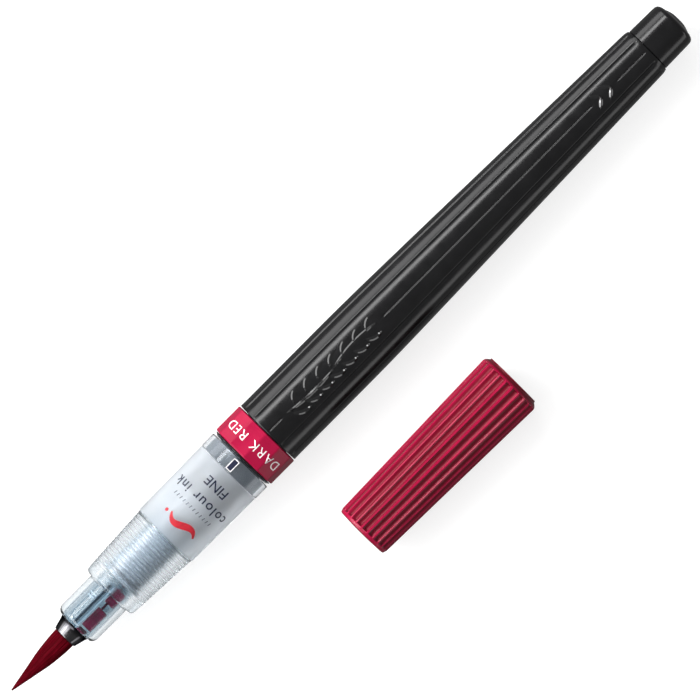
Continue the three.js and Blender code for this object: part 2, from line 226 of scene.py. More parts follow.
def closeTree(tree, start, end, shape):
    solid = addNode(tree, "GeometryNodeRealizeInstances", None, Geometry=shape.outputs[0])
    paint = addNode(tree, "GeometryNodeSetMaterial", None, Geometry=solid.outputs[0],
                    Material=start.outputs["Material"])
    tree.links.new(paint.outputs[0], end.inputs[0])


def blendColours(tree, share, first, second):
    # first where share is 0, second where it is 1
    node = addNode(tree, "ShaderNodeMix", {"data_type": "RGBA"}, i0=share, i6=first, i7=(*second, 1))
    return node.outputs[2]


def attribute(tree, title):
    return addNode(tree, "GeometryNodeInputNamedAttribute", {"data_type": "FLOAT"}, Name=title).outputs[0]


def smoothStep(tree, value, low, high, outLow=0.0, outHigh=1.0):
    node = addNode(tree, "ShaderNodeMapRange", {"interpolation_type": "SMOOTHSTEP"}, Value=value)
    for key, number in (("From Min", low), ("From Max", high), ("To Min", outLow), ("To Max", outHigh)):
        if isinstance(number, bpy.types.NodeSocket):
            tree.links.new(number, node.inputs[key])
        else:
            node.inputs[key].default_value = number
    return node.outputs[0]


def runTree(obj, tree, finish, values, axisY=penY, axisZ=penZ):
    # sets the inputs by identifier, then keeps the result as a plain mesh
    values = {**values, "Axis Y": axisY, "Axis Z": axisZ, "Material": finish}
    modifier = obj.modifiers.new(tree.name, "NODES")
    modifier.node_group = tree
    for item in tree.interface.items_tree:
        if item.item_type == "SOCKET" and item.in_out == "INPUT" and item.name in values:
            modifier[item.identifier] = values[item.name]
    graph = bpy.context.evaluated_depsgraph_get()
    graph.update()
    mesh = bpy.data.meshes.new_from_object(obj.evaluated_get(graph), depsgraph=graph)
    obj.modifiers.remove(modifier)
    mesh.name = obj.name
    obj.data = mesh
    return obj


def newMaterial(name, colour, roughness, **values):
    # a principled material whose plain values sit on the shader's own sockets
    made = bpy.data.materials.new(name)
    made.use_nodes = True
    tree = made.node_tree
    shader = tree.nodes["Principled BSDF"]
    shader.inputs["Base Color"].default_value = (*colour, 1)
    shader.inputs["Roughness"].default_value = roughness
    for key, value in values.items():
        shader.inputs[key.replace("_", " ")].default_value = value
    place = tree.nodes.new("ShaderNodeTexCoord")
    return made, tree, shader, place.outputs["Object"]


def stretched(tree, place, scale):
    return addNode(tree, "ShaderNodeMapping", None, Vector=place, Scale=scale).outputs[0]


def noise(tree, place, scale, detail=3.0, roughness=0.5):
    return addNode(tree, "ShaderNodeTexNoise", None, Vector=place, Scale=scale,
                   Detail=detail, Roughness=roughness).outputs["Fac"]


def tint(tree, value, low, high, colourLow, colourHigh):
    ramp = tree.nodes.new("ShaderNodeValToRGB")
    ramp.color_ramp.elements[0].position = low
    ramp.color_ramp.elements[0].color = (*colourLow, 1)
    ramp.color_ramp.elements[1].position = high
    ramp.color_ramp.elements[1].color = (*colourHigh, 1)
    tree.links.new(value, ramp.inputs[0])
    return ramp.outputs[0]


def bump(tree, shader, height, strength, distance):
    node = addNode(tree, "ShaderNodeBump", None, Height=height, Strength=strength, Distance=distance)
    tree.links.new(node.outputs[0], shader.inputs["Normal"])


def passLamps(tree, shader, tone):
    # lamps shine on through, so that what is inside is lit
    through = addNode(tree, "ShaderNodeBsdfTransparent", None, Color=(*tone, 1))
    rays = addNode(tree, "ShaderNodeLightPath")
    mix = addNode(tree, "ShaderNodeMixShader", None, i0=rays.outputs["Is Shadow Ray"],
                  i1=shader.outputs[0], i2=through.outputs[0])
    tree.links.new(mix.outputs[0], tree.nodes["Material Output"].inputs["Surface"])


def blackPlasticMaterial(name, polish, haze, gloss=0.5):
    made, tree, shader, place = newMaterial(name, (0.005, 0.005, 0.0055), 0.2,
                                            IOR=1.5, Specular_IOR_Level=gloss)
    streaks = noise(tree, stretched(tree, place, (60, 900, 900)), 1.0, 4)
    handling = noise(tree, place, 380, 5, 0.65)
    both = calc(tree, "MULTIPLY_ADD", streaks, 0.5, times(tree, handling, 0.5))
    tree.links.new(smoothStep(tree, both, 0.3, 0.75, polish, haze), shader.inputs["Roughness"])
    base = tint(tree, handling, 0.35, 0.8, (0.0042, 0.0042, 0.0046), (0.008, 0.008, 0.0086))
    tree.links.new(base, shader.inputs["Base Color"])
    bump(tree, shader, both, 0.25, 0.02 * mm)
    return made


def burgundyPlasticMaterial(name, gloss, ribbed=False):
    made, tree, shader, place = newMaterial(name, (0.3, 0.005, 0.035), 0.32,
                                            IOR=1.5, Specular_IOR_Level=gloss)
    cloud = noise(tree, place, 260, 4)
    grain = noise(tree, place, 5200, 2)
    base = tint(tree, cloud, 0.3, 0.75, (0.27, 0.0035, 0.032), (0.33, 0.005, 0.04))
    rough = smoothStep(tree, cloud, 0.25, 0.8, 0.2, 0.28)
    if ribbed:
        # painted shade: the hollows between the ribs get a darker colour for the shade that falls in them,
        # and more roughness; the crests keep the plain colour
        x, y, z = separate(tree, place)
        y = minus(tree, y, capY)
        z = minus(tree, z, capZ)
        radius = calc(tree, "SQRT", plus(tree, times(tree, y, y), times(tree, z, z)))
        slope = (cap["open"] - cap["closed"]) / (capHigh.x - capLow.x)
        crest = calc(tree, "MULTIPLY_ADD", minus(tree, x, capLow.x), slope, cap["closed"])
        hollow = smoothStep(tree, minus(tree, crest, radius), 0.05 * mm, 0.38 * mm)
        base = blendColours(tree, hollow, base, (0.15, 0.0008, 0.012))
        rough = calc(tree, "MULTIPLY_ADD", hollow, 0.12, rough)
    tree.links.new(base, shader.inputs["Base Color"])
    tree.links.new(rough, shader.inputs["Roughness"])
    bump(tree, shader, grain, 0.12, 0.012 * mm)
    return made


def clearPlasticMaterial(name, colour, lampTone=0.8, bend=1.46, frost=0.0):
    made, tree, shader, place = newMaterial(name, colour, 0.04, Transmission_Weight=1.0, IOR=bend)
    grain = noise(tree, place, 2600, 3)
    rough = smoothStep(tree, grain, 0.3, 0.7, 0.02, 0.06)
    if frost:
        # frosted along the grip; its ring grooves get a little darker colour, a painted shade, and more
        # roughness
        x = separate(tree, place)[0]
        frostX, edge = gripX + 0.2 * mm, 0.3 * mm
        into = smoothStep(tree, x, frostX, frostX + edge)
        out = smoothStep(tree, x, sleeveX - edge, sleeveX, 1.0, 0.0)
        frosted = calc(tree, "MULTIPLY_ADD", grain, 0.06, frost)
        rough = plus(tree, times(tree, into, out, frosted), rough)
        fromX = gripX + housing["ringFrom"]
        toX = fromX + housing["rings"] * housing["ringPitch"]
        turns = over(tree, minus(tree, x, fromX), housing["ringPitch"])
        wave = calc(tree, "COSINE", times(tree, turns, 2 * math.pi))
        ringed = times(tree, calc(tree, "GREATER_THAN", x, fromX), calc(tree, "LESS_THAN", x, toX))
        groove = times(tree, smoothStep(tree, wave, 0.1, 0.95), ringed)
        rough = calc(tree, "MULTIPLY_ADD", groove, 0.12, rough)
        # painted shade: the base colour darkens in each ring groove
        shade = tint(tree, groove, 0.0, 1.0, colour, tuple(0.88 * c for c in colour))
        tree.links.new(shade, shader.inputs["Base Color"])
    tree.links.new(rough, shader.inputs["Roughness"])
    bump(tree, shader, grain, 0.03, 0.01 * mm)
    passLamps(tree, shader, tuple(lampTone * c for c in colour))
    return made


def milkyPlasticMaterial():
    made, tree, shader, place = newMaterial("milkySleevePlastic", (0.7, 0.73, 0.76), 0.45,
                                            Transmission_Weight=0.86, IOR=1.3)
    cloud = noise(tree, place, 420, 4)
    tree.links.new(smoothStep(tree, cloud, 0.3, 0.7, 0.36, 0.46), shader.inputs["Roughness"])
    base = tint(tree, cloud, 0.3, 0.8, (0.68, 0.71, 0.74), (0.73, 0.755, 0.78))
    tree.links.new(base, shader.inputs["Base Color"])
    bump(tree, shader, noise(tree, place, 3000, 2), 0.06, 0.01 * mm)
    passLamps(tree, shader, (0.6, 0.62, 0.64))
    return made


def satinPlasticMaterial(name, colour, roughness):
    made, tree, shader, place = newMaterial(name, colour, roughness, IOR=1.45)
    flow = noise(tree, stretched(tree, place, (140, 1200, 1200)), 1.0, 3)
    low = tuple(c * 0.88 for c in colour)
    high = tuple(c * 1.12 for c in colour)
    tree.links.new(tint(tree, flow, 0.3, 0.75, low, high), shader.inputs["Base Color"])
    rough = smoothStep(tree, flow, 0.3, 0.8, roughness, roughness + 0.12)
    tree.links.new(rough, shader.inputs["Roughness"])
    bump(tree, shader, flow, 0.1, 0.01 * mm)
    return made


def ferruleMaterial():
    # turned and polished; darker towards the nose it sits in, a painted shade and dark reflection
    made, tree, shader, place = newMaterial("polishedFerruleMetal", (0.12, 0.12, 0.13), 0.12,
                                            Metallic=1.0, Specular_Tint=(0.22, 0.22, 0.24, 1))
    turning = noise(tree, stretched(tree, place, (9000, 300, 300)), 1.0, 2)
    smudge = noise(tree, place, 900, 4)
    tree.links.new(smoothStep(tree, smudge, 0.3, 0.8, 0.08, 0.24), shader.inputs["Roughness"])
    base = tint(tree, smudge, 0.35, 0.8, (0.11, 0.11, 0.118), (0.15, 0.147, 0.15))
    # painted shade and dark reflection: the rear of the cone goes near black
    rear = smoothStep(tree, separate(tree, place)[0], mouthX + 1.0 * mm, noseX - 0.2 * mm)
    base = blendColours(tree, rear, base, (0.03, 0.03, 0.034))
    tree.links.new(base, shader.inputs["Base Color"])
    bump(tree, shader, turning, 0.15, 0.006 * mm)
    return made


def bristleMaterial():
    # deep burgundy nylon, darker where it goes into the ferrule
    made, tree, shader, place = newMaterial("burgundyStainedBristle", (0.07, 0.0005, 0.004), 0.5,
                                            Specular_IOR_Level=0.03)
    strand = noise(tree, stretched(tree, place, (120, 5200, 5200)), 1.0, 3)
    base = tint(tree, strand, 0.3, 0.75, (0.045, 0.0005, 0.002), (0.11, 0.0012, 0.007))
    atFerruleMouth = smoothStep(tree, separate(tree, place)[0], mouthX - 0.4 * mm, mouthX + 0.3 * mm)
    base = blendColours(tree, atFerruleMouth, base, (0.012, 0.003, 0.004))
    tree.links.new(base, shader.inputs["Base Color"])
    bump(tree, shader, strand, 0.4, 0.05 * mm)
    return made


def inkMaterial(name, colour, roughness):
    made, tree, shader, place = newMaterial(name, colour, roughness)
    patch = noise(tree, place, 1400, 4)
    low = tuple(c * 0.75 for c in colour)
    high = tuple(min(1, c * 1.25) for c in colour)
    tree.links.new(tint(tree, patch, 0.3, 0.75, low, high), shader.inputs["Base Color"])
    bump(tree, shader, noise(tree, place, 6000, 2), 0.1, 0.01 * mm)
    return made


def feltMaterial():
    made, tree, shader, place = newMaterial("openFeltSponge", (0.26, 0.27, 0.28), 0.95)
    fibre = noise(tree, stretched(tree, place, (700, 2600, 2600)), 1.0, 5, 0.7)
    base = tint(tree, fibre, 0.3, 0.7, (0.19, 0.2, 0.21), (0.33, 0.34, 0.35))
    tree.links.new(base, shader.inputs["Base Color"])
    bump(tree, shader, fibre, 0.6, 0.15 * mm)
    return made


def rubberMaterial():
    made, tree, shader, place = newMaterial("softSealRubber", (0.03, 0.03, 0.032), 0.75)
    bloom = noise(tree, place, 1800, 4)
    tree.links.new(smoothStep(tree, bloom, 0.3, 0.8, 0.62, 0.85), shader.inputs["Roughness"])
    bump(tree, shader, bloom, 0.2, 0.03 * mm)
    return made


tuft = {"strands": 620, "strandRadius": 0.055 * mm, "mouthRadius": 1.9 * mm, "rootDepth": 2.1 * mm,
        "swell": [(0, 0.045), (0.08, 0.18), (0.16, 0.29), (0.225, 0.385), (0.315, 0.51), (0.405, 0.64),
                  (0.495, 0.77), (0.585, 0.86), (0.675, 0.93), (0.765, 0.98), (1, 1)],
        "seed": 7, "bendLength": 3 * mm, "lean": 0.05 * mm}


def bristleTree():
    tree, start, end = nodeTree("bristles", {
        "Strands": ("Int", 600), "Seed": ("Int", 1), "Root X": ("Float", 0.0), "Tip X": ("Float", 0.0),
        "Mouth Radius": ("Float", 0.002), "Strand Radius": ("Float", 0.00005), "Lean": ("Float", 0.0)})
    points = addNode(tree, "GeometryNodePoints", None, Count=start.outputs["Strands"]).outputs[0]
    for title, low, high, seedStep in (("spread", 0.0, 1.0, 0), ("turn", -math.pi, math.pi, 10),
                                       ("reach", 0.0, 1.0, 20)):
        seed = plus(tree, start.outputs["Seed"], seedStep)
        chance = addNode(tree, "FunctionNodeRandomValue", {"data_type": "FLOAT"},
                         Seed=seed, i2=low, i3=high)
        settings = {"data_type": "FLOAT", "domain": "POINT"}
        points = addNode(tree, "GeometryNodeStoreNamedAttribute", settings,
                         Geometry=points, Name=title, Value=chance.outputs[1]).outputs[0]
    line = addNode(tree, "GeometryNodeCurvePrimitiveLine", None, End=(1, 0, 0)).outputs[0]
    line = addNode(tree, "GeometryNodeResampleCurve", None, Curve=line, Count=18).outputs[0]
    many = addNode(tree, "GeometryNodeInstanceOnPoints", None, Points=points, Instance=line).outputs[0]
    many = addNode(tree, "GeometryNodeRealizeInstances", None, Geometry=many).outputs[0]

    # some strands stop short of the tip
    reach = attribute(tree, "reach")
    along = addNode(tree, "GeometryNodeSplineParameter").outputs["Factor"]
    short = times(tree, calc(tree, "POWER", reach, 2.5), 0.12)
    along = times(tree, along, minus(tree, 1.0, short))
    length = minus(tree, start.outputs["Tip X"], start.outputs["Root X"])
    x = calc(tree, "MULTIPLY_ADD", along, length, start.outputs["Root X"])

    # the outline from tip to root, filled by strands that crowd towards the skin
    curve = addNode(tree, "ShaderNodeFloatCurve", None, Value=minus(tree, 1.0, along))
    mapping = curve.mapping.curves[0]
    for place, height in tuft["swell"][1:-1]:
        mapping.points.new(place, height)
    mapping.points[0].location = tuft["swell"][0]
    mapping.points[-1].location = tuft["swell"][-1]
    curve.mapping.update()
    fan = calc(tree, "POWER", attribute(tree, "spread"), 0.3)
    radius = times(tree, curve.outputs[0], fan, start.outputs["Mouth Radius"])
    sway = times(tree, minus(tree, reach, 0.5), times(tree, along, 0.5))
    angle = plus(tree, attribute(tree, "turn"), sway)
    bow = times(tree, calc(tree, "SINE", times(tree, along, math.pi)), start.outputs["Lean"])
    middle = minus(tree, start.outputs["Axis Y"], bow)
    y = minus(tree, middle, times(tree, radius, calc(tree, "SINE", angle)))
    z = plus(tree, start.outputs["Axis Z"], times(tree, radius, calc(tree, "COSINE", angle)))
    many = addNode(tree, "GeometryNodeSetPosition", None, Geometry=many,
                   Position=combine(tree, X=x, Y=y, Z=z)).outputs[0]
    thin = times(tree, start.outputs["Strand Radius"], smoothStep(tree, along, 0.45, 1.0, 1.0, 0.42))
    section = addNode(tree, "GeometryNodeCurvePrimitiveCircle", None, Resolution=5, Radius=1.0).outputs[0]
    hair = addNode(tree, "GeometryNodeCurveToMesh", None, Curve=many, Profile_Curve=section,
                   Scale=thin, Fill_Caps=True)
    closeTree(tree, start, end, hair)
    return tree


def swellAt(along):
    pairs = tuft["swell"]
    for (a, low), (b, high) in zip(pairs, pairs[1:]):
        if along <= b:
            return low + (high - low) * (along - a) / (b - a)
    return pairs[-1][1]


def makeTuft():
    strands = newObject("bristle_tuft", bpy.data.meshes.new("bristle_tuft"))
    rootX = mouthX + tuft["rootDepth"]
    runTree(strands, bristleTree(), bristleNylon, {
        "Strands": tuft["strands"], "Seed": tuft["seed"], "Root X": rootX, "Tip X": tipX + 0.02 * mm,
        "Mouth Radius": tuft["mouthRadius"] - tuft["strandRadius"],
        "Strand Radius": tuft["strandRadius"], "Lean": tuft["lean"]})
    smoothShade(strands, 60)
    length = rootX - tipX
    # a solid core just under the outermost strands
    coreRadius = 0.93 * tuft["mouthRadius"]
    outline = [(tipX + 0.25 * mm, 0)]
    outline += spread(tipX + 0.4 * mm, rootX, 28, lambda x: coreRadius * swellAt((x - tipX) / length))
    outline += [(rootX, 0)]
    core = turned("tuftCore", outline, evenTurn(48), bristleNylon)
    for vert in core.data.vertices:
        vert.co.y -= tuft["lean"] * math.sin(math.pi * (rootX - vert.co.x) / length)
    return joined(strands, core)


ferrule = {"mouth": 2.1 * mm, "rear": 2.7 * mm, "bore": 1.9 * mm, "shank": 1.95 * mm,
           "shankBore": 1.75 * mm, "shankLength": 0.3 * mm, "rim": 0.12 * mm, "bead": 0.22 * mm}


def makeFerrule():
    f = ferrule
    lip = 0.08 * mm
    rearX = noseX - 0.05 * mm
    beadX = rearX - f["bead"]
    shankEndX = noseX + f["shankLength"]
    slope = (f["rear"] - f["mouth"]) / (rearX - mouthX)
    outline = arc((mouthX + f["rim"], f["bore"]), (mouthX, f["bore"]), (mouthX, f["bore"] + lip), 3)
    outline += arc((mouthX, f["mouth"] - lip), (mouthX, f["mouth"]),
                   (mouthX + f["rim"], f["mouth"] + slope * f["rim"]), 4)
    outline += spread(mouthX + 0.3 * mm, beadX - 0.1 * mm, 8, lambda x: f["mouth"] + slope * (x - mouthX))
    # a rolled bead, then the shank that sits in the nose
    outline += arc((beadX, f["rear"] - 0.02 * mm), (beadX + f["bead"] / 2, f["rear"] + 0.09 * mm),
                   (rearX - 0.02 * mm, f["rear"] - 0.05 * mm), 6)
    outline += [(rearX, f["rear"] - 0.1 * mm), (rearX, f["shank"]), (shankEndX, f["shank"]),
                (shankEndX, f["shankBore"]), (noseX, f["shankBore"]), (noseX - 0.3 * mm, f["bore"])]
    return turned("ferrule_cone", outline, evenTurn(96), ferruleMetal, closed=True)


housing = {"noseLength": 7.5 * mm, "noseRadius": 3.87 * mm, "frontRadius": 3.2 * mm,
           "chamfer": 1.2 * mm, "wall": 0.82 * mm,
           "gripFront": 4.98 * mm, "gripRear": 5.62 * mm, "shoulder": 0.8 * mm,
           "bore": 3.8 * mm, "boreFrom": 10.2 * mm, "spigot": 4.4 * mm, "spigotLength": 3 * mm,
           "rings": 17, "ringPitch": 0.633 * mm, "ringFrom": 2 * mm, "ringHeight": 0.045 * mm}
gripX = noseX + housing["noseLength"]


def radial(tree, start, end, place, lift):
    # moves each point away from the axis by lift
    y = minus(tree, place[1], start.outputs["Axis Y"])
    z = minus(tree, place[2], start.outputs["Axis Z"])
    flat = combine(tree, Y=y, Z=z)
    out = addNode(tree, "ShaderNodeVectorMath", {"operation": "NORMALIZE"}, i0=flat).outputs[0]
    push = addNode(tree, "ShaderNodeVectorMath", {"operation": "SCALE"}, i0=out, Scale=lift).outputs[0]
    moved = addNode(tree, "GeometryNodeSetPosition", None, Geometry=start.outputs["Geometry"], Offset=push)
    closeTree(tree, start, end, moved)


def ringTree():
    # fine rings: a ripple of the radius along x, on the marked skin only
    tree, start, end = nodeTree("gripRings", {
        "Rings": ("Int", 17), "Pitch": ("Float", 0.0006), "From X": ("Float", 0.0),
        "Height": ("Float", 0.00005)})
    place = separate(tree, addNode(tree, "GeometryNodeInputPosition").outputs[0])
    turns = over(tree, minus(tree, place[0], start.outputs["From X"]), start.outputs["Pitch"])
    wave = calc(tree, "COSINE", times(tree, turns, 2 * math.pi))
    ripple = times(tree, minus(tree, 1.0, wave), 0.5)
    inside = times(tree, calc(tree, "GREATER_THAN", turns, 0.0),
                   calc(tree, "LESS_THAN", turns, start.outputs["Rings"]))
    lift = times(tree, ripple, inside, attribute(tree, "skin"), start.outputs["Height"])
    radial(tree, start, end, place, lift)
    return tree


def makeHousing():
    h = housing
    boreX = noseX + h["boreFrom"]
    innerNose = h["noseRadius"] - h["wall"]
    taper = (h["gripRear"] - h["gripFront"]) / (sleeveX - gripX)
    rear = sleeveX - 0.03 * mm
    spigotX = sleeveX + h["spigotLength"]

    def grip(x):
        return h["gripFront"] + taper * (x - gripX)

    def skin(x, radius):
        return 1.0 if radius > h["gripFront"] - 0.1 * mm else 0.0

    outline = [(noseX, innerNose), (noseX, h["frontRadius"] - 0.1 * mm)]
    outline += arc((noseX + 0.02 * mm, h["frontRadius"]), (noseX + 0.45 * mm, h["noseRadius"]),
                   (noseX + h["chamfer"], h["noseRadius"]), 10)
    outline += [(gripX - 0.35 * mm, h["noseRadius"])]
    outline += arc((gripX - 0.2 * mm, h["noseRadius"]), (gripX, h["noseRadius"]),
                   (gripX, h["noseRadius"] + 0.2 * mm), 4)
    outline += arc((gripX, h["gripFront"] - h["shoulder"]), (gripX, h["gripFront"]),
                   (gripX + h["shoulder"], grip(gripX + h["shoulder"])), 10)
    ringFrom = gripX + h["ringFrom"] - 0.2 * mm
    ringEnd = ringFrom + h["rings"] * h["ringPitch"] + 0.2 * mm
    outline += spread(ringFrom, ringEnd, h["rings"] * 10, grip)
    outline += arc((rear - 0.25 * mm, grip(rear)), (rear, grip(rear)), (rear, grip(rear) - 0.25 * mm), 5)
    outline += [(rear, h["spigot"]), (spigotX, h["spigot"]), (spigotX, h["bore"]), (boreX, h["bore"]),
                (boreX, innerNose)]
    obj = turned("clear_nose_and_grip", outline, evenTurn(128), clearPlastic, closed=True, skin=skin)
    runTree(obj, ringTree(), clearPlastic, {
        "Rings": h["rings"], "Pitch": h["ringPitch"], "From X": gripX + h["ringFrom"],
        "Height": h["ringHeight"]})
    return smoothShade(obj, 40)


def boxMesh(made, low, high):
    xs, ys, zs = zip(low, high)
    corners = [made.verts.new((x, y, z)) for x in xs for y in ys for z in zs]
    for a, b, c, d in ((0, 1, 3, 2), (4, 6, 7, 5), (0, 4, 5, 1), (2, 3, 7, 6), (0, 2, 6, 4), (1, 5, 7, 3)):
        made.faces.new([corners[i] for i in (a, b, c, d)])


def boxes(name, blocks, finish, bevel):
    mesh = bpy.data.meshes.new(name)
    made = bmesh.new()
    for low, high in blocks:
        boxMesh(made, low, high)
    closeMesh(made, mesh)
    obj = newObject(name, mesh, finish)
    modifier = obj.modifiers.new("edges", "BEVEL")
    modifier.width = bevel
    modifier.segments = 2
    return smoothShade(obj)


feeder = {"wall": 0.4 * mm, "fin": 0.8 * mm, "finOffset": 0.34 * mm, "crossAt": 5.0 * mm,
          "crossWall": 0.8 * mm, "rearWall": 0.7 * mm, "bar": 0.3 * mm, "barPitch": 0.55 * mm}


def makeFeeder():
    # a clear tube with a fin along it, a cross wall and a rear wall
    low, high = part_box("feed_core")
    f = feeder
    radius = (high.z - low.z) / 2
    bore = radius - f["wall"]
    front = low.x + 0.25 * mm
    edge = 0.15 * mm
    outline = [(front, bore), (front, radius - edge), (front + edge, radius), (high.x, radius),
               (high.x, bore)]
    tube = turned("feeder_sleeve", outline, evenTurn(96), clearFeed, closed=True)
    inner = bore - 0.04 * mm
    half = inner * 0.7
    tall = inner * 0.98
    finY = penY + f["finOffset"]
    crossX = low.x + f["crossAt"]
    blocks = [((front + 0.2 * mm, finY - f["fin"] / 2, penZ - tall),
               (high.x - 0.9 * mm, finY + f["fin"] / 2, penZ + tall))]
    for x, thick in ((crossX, f["crossWall"]), (high.x - f["rearWall"], f["rearWall"])):
        for side in (-1, 1):
            near = finY + side * (f["fin"] / 2 + 0.05 * mm)
            far = penY + side * half
            blocks.append(((x, min(near, far), penZ - half), (x + thick, max(near, far), penZ + half)))
    walls = boxes("feeder_walls", blocks, clearFeed, 0.06 * mm)
    # a shaded slot, and white strips that are painted highlights: one along the fin's top and two bars
    # across
    top = penZ + bore
    rear = high.x - 1.2 * mm
    slot = [((front + 0.5 * mm, finY, top - 0.42 * mm), (rear, finY + f["fin"] * 0.42, top - 0.2 * mm))]
    # painted highlights: white strips where the fin's edges catch the light
    highlightStrips = [((front + 0.3 * mm, finY - f["fin"] * 0.62, top - 0.3 * mm),
               (rear, finY - f["fin"] * 0.36, top - 0.1 * mm))]
    for x in (crossX, crossX + f["barPitch"]):
        highlightStrips.append(((x, penY + 0.95 * mm, top - 0.75 * mm),
                       (x + f["bar"], penY + 1.95 * mm, top - 0.6 * mm)))
    return (tube, walls, boxes("feeder_slot", slot, slotShade, 0.03 * mm),
            boxes("feeder_highlight_strips", highlightStrips, paintedHighlightWhite, 0.03 * mm))


wick = {"height": 2.7 * mm, "front": 1.15 * mm, "rear": 0.95 * mm, "beforeWall": 0.25 * mm,
        "pastWall": 1.05 * mm, "link": 0.4 * mm}


def makeWick():
    # a soaked block on either side of the cross wall, joined by a low link
    low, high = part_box("ink_wick")
    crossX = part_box("feed_core")[0].x + feeder["crossAt"]
    nearY, farY = low.y + 0.1 * mm, high.y - 0.14 * mm
    half = wick["height"] / 2
    blocks = []
    for x0, x1 in ((noseX + wick["front"], crossX - wick["beforeWall"]),
                   (crossX + wick["pastWall"], high.x - wick["rear"])):
        blocks.append(((x0, nearY, penZ - half), (x1, farY, penZ + half)))
    linkY, linkZ = penY - 1.3 * mm, penZ - 1.5 * mm
    blocks.append(((crossX - 0.5 * mm, linkY, linkZ), (high.x, linkY + wick["link"], linkZ + wick["link"])))
    return boxes("ink_windows", blocks, stainedWick, 0.1 * mm)


feedTube = {"flange": 3.7 * mm, "body": 3.1 * mm, "tail": 1.6 * mm, "bore": 1.0 * mm,
            "tailLength": 9.0 * mm}


def makeFeedTube():
    low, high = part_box("feed_tube")
    f = feedTube
    tailX = high.x - f["tailLength"]
    outline = [(low.x, f["bore"]), (low.x, f["flange"]), (low.x + 0.5 * mm, f["flange"]),
               (low.x + 0.6 * mm, f["body"]), (tailX - 0.2 * mm, f["body"]), (tailX, f["tail"]),
               (high.x - 0.3 * mm, f["tail"]), (high.x, f["tail"] - 0.25 * mm), (high.x, f["bore"])]
    return turned("feed_tube_smooth", outline, evenTurn(64), tubePlastic, closed=True)


printedSleeve = {"front": 5.78 * mm, "rear": 5.88 * mm, "bore": 4.8 * mm, "frontBore": 4.5 * mm,
                 "spigot": 5.2 * mm, "edge": 0.12 * mm}


def sleeveRadius(x):
    s = printedSleeve
    return s["front"] + (s["rear"] - s["front"]) * (x - sleeveX) / (collarX - sleeveX)


def makeSleeve():
    s = printedSleeve
    rear, spigotX = collarX, collarEndX - 0.15 * mm
    outline = [(sleeveX, s["frontBore"]), (sleeveX, s["front"] - s["edge"]),
               (sleeveX + s["edge"], s["front"])]
    outline += spread(sleeveX + 1 * mm, rear - 1 * mm, 6, sleeveRadius)
    outline += [(rear - s["edge"], s["rear"]), (rear, s["rear"] - s["edge"]), (rear, s["spigot"]),
                (spigotX, s["spigot"]), (spigotX, s["bore"]), (sleeveX + 4 * mm, s["bore"]),
                (sleeveX + 3 * mm, s["frontBore"])]
    return turned("milky_printed_sleeve", outline, evenTurn(128), milkyPlastic, closed=True)


collar = {"radius": 5.93 * mm, "bore": 5.3 * mm, "edge": 0.18 * mm}


def makeCollar():
    r, b, e = collar["radius"], collar["bore"], collar["edge"]
    start, end = collarX + 0.02 * mm, collarEndX
    outline = [(start, b), (start, r - e)]
    outline += arc((start, r - e), (start, r), (start + e, r), 4)
    outline += arc((end - e, r), (end, r), (end, r - e), 4)
    outline += [(end, b)]
    return turned("clear_joint_collar", outline, evenTurn(128), clearCollar, closed=True)


notch = {"length": 2.1 * mm, "width": 1.1 * mm, "bar": 0.14 * mm, "offset": 0.29 * mm, "proud": 0.06 * mm}


def makeNotchFrame():
    # a small raised frame round the collar's notch, with a dark plate inside it as the notch's painted
    # shade
    n = notch
    bar = n["bar"]
    middleX, middleY = (collarX + collarEndX) / 2, penY + n["offset"]
    x0, x1 = middleX - n["length"] / 2, middleX + n["length"] / 2
    y0, y1 = middleY - n["width"] / 2, middleY + n["width"] / 2
    top = penZ + collar["radius"]
    z0, z1 = top - 0.2 * mm, top + n["proud"]
    blocks = [((x0, y0, z0), (x1, y0 + bar, z1)), ((x0, y1 - bar, z0), (x1, y1, z1)),
              ((x0, y0 + bar, z0), (x0 + bar, y1 - bar, z1)),
              ((x1 - bar, y0 + bar, z0), (x1, y1 - bar, z1))]
    # painted shade: a dark plate standing for the shade in the notch
    notchShade = [((x0 + bar, y0 + bar, z0 - 0.05 * mm), (x1 - bar, y1 - bar, top + 0.02 * mm))]
    return (boxes("collar_notch_frame", blocks, whitePrint, 0.03 * mm),
            boxes("collar_notch_painted_shade", notchShade, navyPrint, 0.02 * mm))


# corner is how many degrees each rounded corner takes
colourRing = {"sides": 12, "bore": 4.55 * mm, "edge": 0.16 * mm, "corner": 2.2}


def facetRadius(angle):
    # how far out the ring's flat facets are at an angle
    sector = 2 * math.pi / colourRing["sides"]
    return ringRadius * math.cos(sector / 2) / math.cos(angle % sector - sector / 2)


